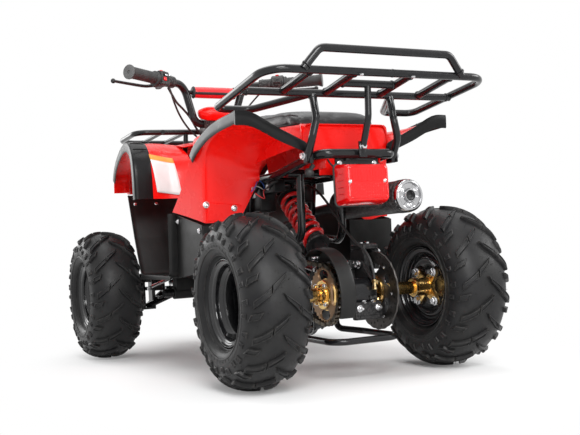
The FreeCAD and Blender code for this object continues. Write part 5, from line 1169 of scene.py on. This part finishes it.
def seat_pad():
    rows = []
    for x, half, low, thick in ((22, 90, 543.0, 15), (30, 98, 543.6, 21), (60, 105, 545.6, 28), (110, 108.5, 549, 31),
                                (160, 109, 552.6, 31), (205, 104, 559.5, 30), (250, 95, 566.6, 29),
                                (325, 79, 579.5, 25), (385, 66, 589.9, 21), (397, 60, 592.2, 15)):
        top = low + thick
        rows.append(mirrored(cross_line(x, ((half - 2, low), (half + 0.5, low + thick * 0.35), (half - 1.5, top - 9),
                                            (half - 8, top - 3.5), (half - 20, top - 0.5), (half * 0.5, top + 1.0),
                                            (0, top + 1.4))), 1))
    o = puff(Geo().loft(smooth_rows(rows, 2)), "seat_cushion", "seat", "seat", "root", 5.0, 4.0, 5.0,
             lambda p: p.z < 0.5445 + max(0, (p.x + MID_X / 1000 - 0.16)) * 0.17, seat_groove)
    piping = Geo()
    for s in (1, -1):
        line = []
        for x in (32 + 354 * i / 39 for i in range(40)):
            half = 96 + (x - 32) * 0.28 if x < 60 else 104 - max(0, x - 200) * 0.2
            at, n = surface_hit(o, (x, s * (half + 40), 640 + (x - 60) * 0.05), (0, -s * 0.55, -0.835))
            if at is not None and at.z > 548:
                line.append(at + Vector(n) * 0.4)
        if len(line) > 3:
            piping.tube(line, 1.5, 8)
    piping.emit("seat_piping", "seat", "seat", 60)
    rows = [cross_line(x, ((half, low), (half + 1.2, low + 2.2), (half, low + 4.4), (-half, low + 4.4),
                           (-half - 1.2, low + 2.2), (-half, low)))
            for x, half, low in ((24, 91, 541.2), (60, 105.5, 544.4), (160, 109.5, 551.4), (250, 95.5, 565.4),
                                 (396, 64, 591.2))]
    Geo().loft(smooth_rows(rows, 4)).emit("seat_base", "black", "seat", 40, slot="seat_vinyl")


def bar_pad():
    at = V(713.8, 0, 742)
    half = [(65, 0.01), (65, 12), (63, 14.6), (58, 16.0), (30, 16.4)]
    g = Geo().revolve([(-h, r) for h, r in half] + [(0, 16.4)] + half[::-1], at, n=40)
    o = puff(g, "crossbar_cushion", "pad", "crossbar_pad", "steering", 4.0, 3.0, 2.0, lambda p: abs(p.y) > 0.062)
    grip = dict(node="crossbar_pad", body="steering", slot="grip_rubber")
    rows = []
    for y in (-60 + 120 * i / 44 for i in range(45)):
        rows.append([])
        for k in range(7):
            d = polar(1, radians(-150 - 26 * k / 6), z=0)
            hit, _ = surface_hit(o, at + V(0, y, 0) + d * 40, -d)
            rows[-1].append((hit or at + V(0, y, 0) + d * 17) + d * 0.35)
    Geo().grid(rows).emit("crossbar_stripe", "stripe", smooth=180, solid=0.5, **grip)
    ends = Geo()
    for s in (1, -1):
        ends.revolve([(s * h, r) for h, r in ((60.5, 15.8), (61.5, 17.4), (64.5, 16.6), (66.8, 13), (66.8, 6.4))], at,
                     n=36)
    ends.emit("crossbar_ends", "rubber", smooth=50, **grip)


# Handlebar: grips, controls and the moulded cover

def grip_axis(s):
    outer = V(584, s * 286, 765)
    return outer, (V(712, s * 92, 762) - outer).normalized()


def grip_radius(h):
    """Radius of a grip sleeve at a distance from its outer end: a flange, a neck, and a ring at the inner end."""
    if h < 6:
        return 19.4 - max(0, h) * 0.45
    if h < 12:
        return 16.7 - (h - 6) * 0.18
    return 15.6 + min(max(0, h - 99) * 1.3, 4.0)


def bar_grips():
    g, ends = Geo(), Geo()
    for s in (1, -1):
        outer, along = grip_axis(s)
        _, a, b = basis(along)
        rows = []
        for i in range(76):
            h = -2.6 + 110.6 * i / 75
            knurl = 0.45 * (1 if (i // 3) % 2 else 0.2) * (12 < h < 98)
            rows.append([outer + along * h + (a * cos(t) + b * sin(t)) * (
                grip_radius(h) + knurl * (1 if k % 4 < 2 else -0.4)) for k, t in enumerate(turns(96))])
        g.grid(rows, around=True)
        g.revolve([(108, 19.4), (108.6, 18), (108.6, 11.4)], outer, along, 48)
        ends.revolve([(-2.4, 19.2), (-3.6, 18.6), (-4.4, 16.5), (-4.4, 6.2), (-3.6, 5.0), (-1.0, 4.6), (-1.0, 0.01)],
                     outer, along, 56)
    g.emit("grip_sleeves", "rubber", "grips", body="steering", slot="grip_rubber")
    ends.emit("grip_ends", "grey", "grips", 40, body="steering")


def bar_controls():
    for s, name in SIDES:
        node = "controls_" + name
        outer, along = grip_axis(s)
        forward = along.cross(V(0, 0, s)).normalized() * -1 - V(0, 0, 0.12)
        up = along.cross(forward).normalized()
        up = -up if up.z < 0 else up
        ahead = up.cross(along).normalized()
        ahead = -ahead if ahead.dot(forward) < 0 else ahead
        turn = Matrix((along, ahead, up)).transposed()
        g, red, alloy = Geo(), Geo(), Geo()
        start = 109.3

        def blocks(geo, base, *spots):
            """Boxes placed along the bar, ahead of it and above it from a base."""
            for (u, v, w), size, bevel in spots:
                geo.box(base + along * u + ahead * v + up * w, size, turn, bevel=bevel)

        mid = outer + along * (start + 18)
        if s > 0:
            blocks(g, mid, ((0, 0, 5), (35, 42, 26), 5), ((0, 0, -9), (34, 40, 22), 6), ((0, 2, 12), (31, 30, 18), 4),
                   ((0, -16, 2), (30, 10, 22), 3), ((9, 0, 21), (7, 22, 3), 1))
            blocks(red, mid, ((-3, -4, 20.6), (9, 17, 4.6), 1.4), ((-6, -21.4, -5), (11, 5, 10), 1.6))
            blocks(alloy, mid, ((3, -21.6, 7), (13, 3, 5), 1.2))
        else:
            g.revolve([(start + h, r) for h, r in ((0, 12), (0, 22), (2, 24), (33, 24), (35.5, 22), (35.5, 12))], outer,
                      along, 56)
            blocks(g, mid, ((0, 8, 16), (28, 28, 14), 4), ((0, -21, -3), (20, 22, 5), 2))
            blocks(red, mid, ((0, -8, 22.5), (10, 10, 3.5), 1.4))
        perch = outer + along * (start + 54)
        g.cyl(outer + along * (start + 36), outer + along * (start + 73), 16.6, 40, chamfer=1.6)
        blocks(g, perch, ((0, 20, 0), (26, 30, 16), 4))
        g.cyl(perch + ahead * 36 + up * 9, perch + ahead * 36 - up * 11, 9.5, 28, chamfer=1.4)
        alloy.bolt(perch + ahead * 36 + up * 9, up, 7, washer=False)
        alloy.bolt(perch - ahead * 2 + up * 16.4 + along * 8, up, 5.5, washer=False, head="round")
        pivot, tip = perch + forward * 38, outer + along * 22 + forward * 76
        line = smooth_line([pivot, pivot + forward * 14 - along * 10, pivot + forward * 27 - along * 28,
                            (pivot + forward * 30 - along * 40).lerp(tip, 0.45), tip], 8)
        rows, last = [], len(line) - 1
        for i, p in enumerate(line):
            side = (line[min(i + 1, last)] - line[max(i - 1, 0)]).normalized().cross(up).normalized()
            w, h = 7.5 - 2.6 * i / last, 4.6 - i / last
            rows.append([p + side * (w * cos(t)) + up * (h * sin(t)) for t in turns(12)])
        g.emit(node + "_body", "satin", node, 34, body="steering", slot="grip_rubber")
        red.emit(node + "_button", "lens", node, 34, body="steering", slot="red_plastic")
        alloy.emit(node + "_screws", "bright", node, body="steering", slot="lever_alloy")
        lever = Geo().loft(rows).ball(tip, 6.8)
        lever.emit("brake_lever_" + name, "satin", node, 50, body="steering", slot="lever_alloy")


def clamp_cover():
    """Moulded red cover over the bar clamp, with folds round its rim."""
    top = V(722, 0, 652)
    ahead = V(0, 1, 0).cross(COLUMN).normalized()
    ahead = -ahead if ahead.x < 0 else ahead
    rows = []
    for h, back, front, half, n in ((16.5, 27, 23, 43, 3.2), (22, 31, 25, 47, 3.0), (32, 34, 26, 50, 2.8),
                                    (39, 33, 24, 48, 2.6), (44, 27, 19, 40, 2.5), (47, 24, 16, 34, 2.4),
                                    (50, 17, 10, 24, 2.2), (51, 6, 4, 9, 2.0)):
        rows.append([])
        for t in turns(56):
            c, s = cos(t), sin(t)
            u = (front if c > 0 else back) * copysign(abs(c) ** (2 / n), c)
            w = half * copysign(abs(s) ** (2 / n), s)
            fold = 1 + 0.035 * sin(5 * t + 0.6) * (h < 48)
            rows[-1].append(top + COLUMN * h + ahead * (u * fold) + V(0, w * fold, 0))
    Geo().loft(smooth_rows(rows, 3)).emit("clamp_cover", "red", "handlebar_cover", 60, body="steering")
    Geo().revolve([(0, 9), (3.4, 9), (4.2, 8), (4.2, 5), (2.6, 4.6), (2.6, 0.01)], top + COLUMN * 47 - ahead * 14,
                  COLUMN, 32).emit("key_switch", "chrome", smooth=34, body="steering")
    Geo().bolts(*((top + COLUMN * 16 + V(0, y, 0) + ahead * 22, ahead, 7) for y in (-24, 24))
                ).emit("clamp_bolts", "bright", body="steering")


# Cords

def cord(name, diameter, mat, body, points, node=None):
    curve = bpy.data.curves.new(name, "CURVE")
    curve.dimensions = "3D"
    spline = curve.splines.new("NURBS")
    spline.points.add(len(points) - 1)
    for p, q in zip(spline.points, points):
        p.co = (*out(q), 1)
    spline.order_u = 3
    spline.use_endpoint_u = True
    spline.resolution_u = 12
    curve.bevel_depth = diameter / 2000
    curve.bevel_resolution = 4
    curve.use_fill_caps = True
    curve.materials.append(M[mat])
    o = add_object(name, curve)
    attach(o, body, node, "cable_rubber")


def cords():
    cord("rear_brake_cable", 6, "rubber", "root", [
        (-38, -38, 206.6), (-34, -38, 256), (52, -36, 298), (122, -36, 366), (212, -40, 428), (352, -69, 437),
        (500, -68, 441), (640, -69, 436), (716, -62, 478), (742, -50, 508), (762.6, -50, 508)], "brake_cable")
    cord("left_brake_cable", 5.5, "rubber", "steering", [
        (681, 148, 752), (692, 138, 742), (712, 124, 716), (742, 96, 676), (762, 62, 640), (760, 30, 612),
        (750, 14, 596), (747, 12, 586)])
    cord("switch_cable", 6.5, "rubber", "steering", [
        (648, 160, 740), (656, 148, 724), (676, 128, 704), (706, 98, 692), (744, 62, 672), (770, 34, 640),
        (764, 10, 608), (752, 4, 590)])
    cord("throttle_cable", 5, "rubber", "steering", [
        (672, -150, 752), (690, -140, 744), (712, -122, 720), (740, -94, 682), (757, -60, 644), (756, -30, 614),
        (751, -12, 592)])
    cord("loom", 7, "rubber", "root", [
        (330, 76, 432), (300, 72, 424), (262, 70, 418), (226, 76, 424), (196, 80, 434), (168, 78, 437)])
    for name, points in (
            ("wire_blue", [(250, 72, 423), (232, 82, 436), (212, 104, 444), (194, 118, 436), (190, 124, 424),
            (200, 130, 416)]),
            ("wire_red", [(248, 70, 421), (226, 86, 424), (206, 96, 408), (190, 100, 398), (184, 112, 400),
            (196, 122, 412)]),
            ("wire_white", [(246, 74, 421), (230, 92, 428), (214, 112, 430), (202, 124, 428), (196, 130, 422)])):
        cord(name, 2.4, name, "root", points)
    cord("tail_lamp_wire", 4, "rubber", "root", [
        (-40, 60, 462), (-46, 58, 452), (-52, 46, 440), (-50, 30, 430), (-55, 20, 424)])
    cord("spark_lead", 7, "rubber", "root", [
        (703, -8, 296), (722, -8, 300), (726, -6, 330), (704, 14, 376), (676, 44, 420), (650, 68, 446)])
    cord("breather_hose", 9, "rubber", "root", [
        (470, 20, 326), (468, 26, 352), (456, 36, 384), (432, 54, 420), (404, 70, 438)])


# Foot wells, screws, weld beads and small fittings

def filleted(points, r, n=7):
    """Line with its inner corners rounded."""
    fine = [points[0]]
    for a, b, c in zip(points, points[1:], points[2:]):
        u, v = (a - b).normalized(), (c - b).normalized()
        half = acos(max(-1, min(1, u.dot(v)))) / 2
        d = min(r / tan(half), (a - b).length * 0.45, (c - b).length * 0.45)
        for t in (i / n for i in range(n + 1)):
            fine.append((b + u * d) * (1 - t) ** 2 + b * 2 * t * (1 - t) + (b + v * d) * t ** 2)
    return fine + [points[-1]]


def foot_tray():
    line = filleted(side_line(0, ((712.5, 449), (668, 330), (622, 228), (384, 224), (376, 380))), 26)
    fine = []
    for a, b in zip(line, line[1:]):
        steps = max(1, int((b - a).length / 14))
        fine += [a.lerp(b, i / steps) for i in range(steps)]
    fine.append(line[-1])
    rows = []
    for p, n in zip(fine, line_normals(fine)):
        n = n if (V(520, 0, 340) - p).dot(n) > 0 else -n
        rows.append([])
        for y in (128.5, 131, 140, 160, 178, 184, 190, 200, 216, 232, 248, 258, 264, 268, 270.6, 271.6):
            lift = 0.6
            if p.z > 250 and p.x > 600:
                lift += (-2.4 if y < 182 else 0.0 if y > 189 else -1.2) + 1.6 * sin(pi * clamp((y - 190) / 74))
            if p.z > 250 and p.x < 420:
                lift += 1.5 * sin(pi * (y - 128) / 144)
            if y > 262:
                lift += (y - 262) ** 2 * 0.035
            rows[-1].append(V(p.x, y, p.z) + n * lift)
    return Geo().grid(rows)


def foot_wells():
    top = [V(382 + 262 * i / 12, 128.5, 291.5) for i in range(13)]
    low = [V(386 + 234 * i / 12, 130, 227) for i in range(13)]
    inner = Geo().grid([low, [a.lerp(b, 0.5) + V(0, -1, 0) for a, b in zip(low, top)], top,
                        [p + V(0, -4, 1.5) for p in top], [p + V(0, -6, -1) for p in top]])
    rows = []
    for u in (i / 12 for i in range(13)):
        rows.append([])
        for v in (j / 12 for j in range(13)):
            edge = min(u, 1 - u, v, 1 - v)
            bulge = 2.6 * min(1, edge / 0.16) + (1.6 if edge < 0.04 else 0)
            rows[-1].append(V((387 - 183 * u) * (1 - v) + (379 - 167 * u) * v, 248.4 + bulge,
                              (225 + 15 * u) * (1 - v) + (376 - 32 * u) * v))
    panel = Geo().grid(rows)
    panel.grid([[V(208 - 4 * v - 2 * min(1, min(u, 1 - u) / 0.15), 249 - 120 * u, 238.6 + 103 * v)
                 for u in (i / 10 for i in range(11))] for v in (j / 8 for j in range(9))])
    ribs = Geo()
    for i in range(34):
        x = 392 + 6.6 * i
        z = 224 + (x - 384) * 4 / 238
        ribs.boxes(((x, 253, z + 2.2), (3.0, 32, 3.2), 0.8))
        if i % 2 == 0:
            ribs.boxes(((x, 188, z + 1.8), (3.4, 84, 2.6), 0.8))
    ribs.boxes(((503, 140, 228.6), (226, 3, 3), 0.8), ((503, 236, 228.6), (226, 3, 3), 0.8),
               ((503, 270.2, 226), (236, 3.0, 9), 1.2))
    screws = Geo().bolts(((701, 194, 425), (-0.94, 0, 0.34), 6.5), ((701, 254, 425), (-0.94, 0, 0.34), 6.5),
                         ((366, 251, 360), Y_AXIS, 6.5), ((226, 251, 332), Y_AXIS, 6.5), ((218, 251, 254), Y_AXIS, 6.5),
                         head="round")
    mount = Geo().box((505, 190, 206), (29.6, 59.6, 39), bevel=2).cyl((505, 156, 185), (505, 224, 185), 16, chamfer=1.4)
    tray = foot_tray()
    for s, name in SIDES:
        for geo, label, mat, options in ((tray, "tray", "black", dict(smooth=45, solid=3.2, bevel=0.7)),
                                         (inner, "inner_wall", "black", dict(smooth=45, solid=2.6, bevel=0.5)),
                                         (panel, "rear_panel", "black", dict(smooth=50, solid=2.6, bevel=0.6)),
                                         (ribs, "tread", "black", {}), (mount, "mount", "black", {}),
                                         (screws, "screws", "bright", {})):
            geo.sided(s).emit(f"foot_{label}_{name}", mat, "footwell_" + name, **options)


def weld(g, at, axis, r, seed):
    """Bead of a weld round a tube: overlapping small ripples."""
    rnd = random.Random(seed)
    axis, a, b = basis(axis)
    rows = []
    for i, t in enumerate(turns(48)):
        d = a * cos(t) + b * sin(t)
        swell = 1.5 + 0.35 * sin(i * pi * 2 / 3) + rnd.uniform(-0.12, 0.12)
        rows.append([Vector(at) + d * (r + 0.2 + swell * 0.8 * cos(u)) + axis * (swell * 1.5 * sin(u))
                     for u in turns(6)])
    g.grid(rows, around=True, along=True)


def rack_details():
    slope = V(-129, 0, 19).normalized()
    spots = []
    for y in (-164, -66, 66, 164):
        spots += [(V(-52, y, 598) + slope * 8.4, slope, 8.2), (V(-181, y, 617) - slope * 8.4, slope, 8.2)]
    for s in (1, -1):
        spots += [((-116.5, s * 58.4, 607.5), Y_AXIS, 8.2), ((-52, s * 243, 598), Y_AXIS, 8.2),
                  ((-52.6, s * 94, 589), Z_AXIS, 8.2), ((-190, s * 178, 624), (-0.2, -s * 0.62, 0.76), 8.2)]
        for y in (60, 130):
            spots += [((991.5, s * y, 634.2), X_AXIS, 6.2), ((806, s * y, 640), X_AXIS, 6.2)]
    g = Geo()
    for seed, (at, axis, r) in enumerate(spots, 1):
        weld(g, at, axis, r, seed)
    g.revolve([(-1.2, 7.9), (-0.8, 8.6), (0.8, 8.6), (1.2, 7.9)], (-181, -18.9, 617), n=40)
    g.emit("weld_beads", "tube", smooth=60)
    Geo().boxes(((-84, 0, 478), (5, 19, 34), 2), *(((-33, s * 111, 468), (21, 3.4, 25), 1.4) for s in (1, -1))
                ).emit("rack_feet", "tube", smooth=34)
    b = Geo().bolt((-86.5, 0, 484), REARWARD, 8.5)
    for s in (1, -1):
        b.bolt((-33, s * 112.6, 470), (0, s, 0), 8.5).bolt((-193, s * 60, 610), (0, 0, -1), 5.5, washer=False)
    b.emit("rack_bolts", "bright")


def body_screws():
    b = Geo().bolts(((204.4, 240, 389), (-1, 0, 0.05), 7.5), ((205, 172, 380), (-1, 0, 0.05), 7.5), head="round")
    b.bolts(((604, 270, 441), REARWARD, 5), ((604, 270, 474), REARWARD, 5), washer=False, head="round")
    b.both().emit("body_screws", "bright")
    k = Geo().cyl((-24, 86, 452), (-24, 96, 440), 5, 20).ball((-25, 97, 436), 9.6, 24)
    k.revolve([(-6, 7.5), (-4, 10.4), (0, 10.8), (3, 10.2)], (-25, 97, 436), (0, 0.64, -0.77), 32)
    k.emit("rubber_stop", "rubber", smooth=50)
    bracket = Geo().bolts(*(((-57, y, z), REARWARD, 5.5) for z in (452, 374) for y in (42, -42)))
    bracket.emit("tail_bracket_bolts", "bright")


def engine_details():
    left, right = V(500, 0, 262), V(470, 0, 258)
    g = Geo().revolve([(69.6, 59.5), (72, 58), (74.5, 52), (75.2, 44), (75.2, 30), (77.4, 28), (78.4, 22),
                       (78.6, 0.01)], left)
    for a in turns(10):
        g.box(polar(37, a, 75.6, left.x, left.z), (15, 1.6, 3), about_y(-a), bevel=0.6)
    g.revolve([(-71.6, 57.5), (-74, 56), (-76.5, 50), (-77.2, 40), (-77.2, 26), (-79.4, 24), (-80, 18), (-80, 0.01)],
              right)
    for i in range(3):
        g.box((470, -78, 240 + 18 * i), (44 - 8 * abs(i - 1), 2.2, 3.4), bevel=0.8)
    # Cylinder head, at the end of a barrel that leans forward
    along, up = polar(1, radians(12), z=0), polar(1, radians(102), z=0)
    head = V(596, -8, 268) + along * 99
    g.box(head + along * 17.6, (7, 74, 74), Matrix((along, V(0, 1, 0), up)).transposed(), bevel=3)
    g.cyl(head + V(0, 42, 0), head + V(0, 48, 0), 20, 40, chamfer=1.4)
    for s in (1, -1):
        g.cyl(head + up * 42 * s, head + up * 47 * s, 17, 36, chamfer=1.2)
    for y in (54, -61):
        for z in (206, 314):
            g.box((430, y, z), (90, 3, 6), bevel=1)
    g.cyl((548, 46, 222), (548, 52, 222), 13, 6)
    g.emit("engine_covers", "alloy", smooth=34, bevel=0.4)
    b = Geo()
    for a in turns(6, pi / 6):
        b.bolt(polar(54, a, 71.4, left.x, left.z), Y_AXIS, 5.5, washer=False)
        b.bolt(polar(53, a, -73.4, right.x, right.z), (0, -1, 0), 5.5, washer=False)
    for y in (-27, 27):
        for w in (-27, 27):
            b.bolt(head + along * 21 + V(0, y, 0) + up * w, along, 6, head="nut")
    for a in turns(3):
        b.bolt(head + polar(15, a, 48, z=0), Y_AXIS, 4.5, washer=False)
    b.cyl(head + V(8, -42, 6), head + V(8, -50, 6), 8, 6)
    b.bolt((400, 67.4, 238), Y_AXIS, 10, head="nut")
    b.emit("engine_bolts", "bright")
    # Manifold, air filter with its pleats, and carburettor plugs
    lean = (-1, 0, 0.075)
    c = Geo().tube([head + along * 6, head + along * 14 + up * 2, head + along * 26], [7.5, 8, 6.5], 20)
    c.revolve([(0, 35.2), (2, 37), (6, 37), (8, 35.2)], (548, -8, 384.2), lean, 48)
    for a in turns(18):
        d = V(0, cos(a), sin(a)) * 35
        c.tube([V(540, -8, 384.6) + d, V(478, -8, 389.4) + d], 2.1, 8)
    c.revolve([(-1, 35.6), (0, 36.6), (6, 36.4), (8, 33), (9, 20), (9, 0.01)], (478, -8, 389.4), lean, 48)
    c.cyl((560, 12, 392), (560, 18, 392), 9, 28, chamfer=1)
    c.cyl((560, -34, 372), (560, -28, 372), 10, 28, chamfer=1)
    c.cyl((574, -8, 344), (574, -8, 338), 8, 6)
    c.emit("intake_details", "rubber", smooth=36)


def under_seat():
    g = Geo().boxes(((304, 60, 404), (88, 42, 66), 4), ((304, 60, 439.5), (84, 38, 7), 2),
                    ((222, 60, 428), (56, 30, 30), 3), ((318, -58, 415), (64, 34, 44), 4))
    for x in (284, 324):
        g.cyl((x, 60, 443), (x, 60, 447), 7, 20, chamfer=0.8)
    g.tube([(262, 84, 432), (304, 83.4, 410), (346, 84, 432)], 3.0, 10)
    g.box((304, 72, 372), (104, 30, 4), bevel=1.2)
    g.emit("battery_tray", "flare", smooth=34, bevel=0.5)
    Geo().box((304, 82, 418), (40, 2.4, 22), bevel=0.8).cyl((222, 75.5, 428), (222, 78.5, 428), 8, 28, chamfer=0.8
              ).emit("battery_strap_plate", "alloy", smooth=34, slot="bright_steel")


def adjusters():
    """Chain adjuster plate behind the axle carrier, with its draw bolts, and the bracket that carries the caliper."""
    g = Geo().boxes(((-21, -26, 140), (15, 66, 37), 3), ((-14, -6, 160), (18, 24, 20), 3),
                    ((-14, -46, 160), (18, 16, 20), 3), ((-30, -26, 127), (5, 46, 6), 2))
    rows = [[polar(31 + 36 * max(0, cos(t - 0.95)) ** 7 - inset, t, y) for t in turns(40)]
            for y, inset in ((-46.5, 0.5), (-46, 0), (-41, 0), (-40.5, 0.5))]
    rows += [[polar(18.5, t, y) for t in turns(40)] for y in (-40.5, -46.5)] + rows[:1]
    g.grid(rows, around=True)
    g.emit("adjuster_plate", "satin", smooth=34, bevel=0.5)
    b = Geo()
    for y in (-4, -50):
        b.bolt((-28.5, y, 146), REARWARD, 7.5).cyl((-32, y, 146), (-42, y, 146), 2.9, 16, chamfer=0.6)
    b.emit("adjuster_bolts", "bright")


# Camera, stage and light

def set_camera():
    yaw, pitch, roll = radians(-26.7437), radians(1.9863), radians(-3.2089)
    focal_px, width_px, sensor = 872.79, 580.0, 36.0
    d = V(cos(yaw) * cos(pitch), sin(yaw) * cos(pitch), sin(pitch))
    r = d.cross(V(0, 0, 1)).normalized()
    u = r.cross(d)
    cam = bpy.data.cameras.new("camera")
    cam.sensor_width = sensor
    cam.lens = focal_px * sensor / width_px
    cam.clip_end = 50
    o = add_object("camera", cam)
    m = Matrix((r * cos(roll) + u * sin(roll), u * cos(roll) - r * sin(roll), -d)).transposed().to_4x4()
    m.translation = (-2.0614, 0.9510, 0.2828)
    o.matrix_world = m
    bpy.context.scene.camera = o


def ray_white(nt):
    """One for camera, mirror and glass rays, and nought for light that falls on the object."""
    rays = nt.nodes.new("ShaderNodeLightPath").outputs
    seen = shader(nt, "Math", 0, {0: rays["Is Camera Ray"], 1: rays["Is Glossy Ray"]}, operation="MAXIMUM")
    return shader(nt, "Math", 0, {0: seen, 1: rays["Is Transmission Ray"]}, operation="MAXIMUM")


def set_stage():
    s = 6.0
    mesh = bpy.data.meshes.new("floor")
    mesh.from_pydata([(-s, -s, 0), (s, -s, 0), (s, s, 0), (-s, s, 0)], [], [(0, 1, 2, 3)])
    floor = add_object("floor", mesh)
    m = bpy.data.materials.new("floor_paper")
    m.use_nodes = True
    nt = m.node_tree
    paper = nt.nodes["Principled BSDF"]
    paper.inputs["Base Color"].default_value = (0.90, 0.90, 0.90, 1)
    paper.inputs["Roughness"].default_value = 0.9
    paper.inputs["Specular IOR Level"].default_value = 0.0
    # Away from the machine the paper goes over to plain white for the camera, mirrors and glass
    place = nt.nodes.new("ShaderNodeTexCoord").outputs["Object"]
    squash = shader(nt, "VectorMath", "Vector", {0: place, 1: (0.78, 1.25, 1)}, operation="MULTIPLY")
    reach = shader(nt, "VectorMath", "Value", {0: squash}, operation="LENGTH")
    fade = shader(nt, "MapRange", "Result", {"From Min": 0.34, "From Max": 0.86, "Value": reach},
                  interpolation_type="SMOOTHSTEP")
    both = shader(nt, "Math", 0, {0: fade, 1: ray_white(nt)}, operation="MULTIPLY")
    white = shader(nt, "Emission", 0, {"Color": (1, 1, 1, 1), "Strength": 1.0})
    blend = shader(nt, "MixShader", 0, {0: both, 1: paper.outputs[0], 2: white})
    nt.links.new(blend, nt.nodes["Material Output"].inputs["Surface"])
    mesh.materials.append(m)
    world = bpy.data.worlds.new("studio")
    bpy.context.scene.world = world
    world.use_nodes = True
    nt = world.node_tree
    nt.nodes.clear()
    soft = shader(nt, "Background", 0, {"Color": (1, 1, 1, 1), "Strength": 0.5})
    white = shader(nt, "Background", 0, {"Color": (1, 1, 1, 1), "Strength": 1.0})
    seen = shader(nt, "MixShader", 0, {0: ray_white(nt), 1: soft, 2: white})
    nt.links.new(seen, nt.nodes.new("ShaderNodeOutputWorld").inputs["Surface"])


def area(name, at, target, size, power):
    light = bpy.data.lights.new(name, "AREA")
    light.shape = "RECTANGLE"
    light.size, light.size_y = size
    light.energy = power
    o = add_object(name, light)
    o.location = at
    o.rotation_euler = (Vector(target) - Vector(at)).to_track_quat("-Z", "Y").to_euler()


for build in (tyres, rear_fender, hump, rear_flare, front_fender, front_flare, decal, tank, chain_wheel, brake_rotor,
              wheels, axle, chain_links, guard, brake, carrier_bolts, dampers, tail_lamp, silencer_end, headlamps,
              seat_pad, bar_pad, bar_grips, bar_controls, clamp_cover, cords, under_seat, adjusters, foot_wells,
              rack_details, body_screws, engine_details, set_camera, set_stage):
    build()
area("key", (-3.1, 0.85, 2.3), (0, 0, 0.3), (1.6, 1.2), 76)
area("rim_light", (-1.6, -2.6, 1.8), (0, 0, 0.3), (1.6, 1.2), 40)
area("top", (0.2, 0.0, 2.8), (0, 0, 0.3), (2.2, 2.2), 35)
area("low_front", (2.4, 1.2, 1.2), (0, 0, 0.3), (1.4, 1.2), 18)
area("low_rear", (-2.4, 0.3, 0.55), (-0.2, 0.0, 0.35), (1.2, 0.5), 10)

scene = bpy.context.scene
scene.view_settings.view_transform = "Standard"
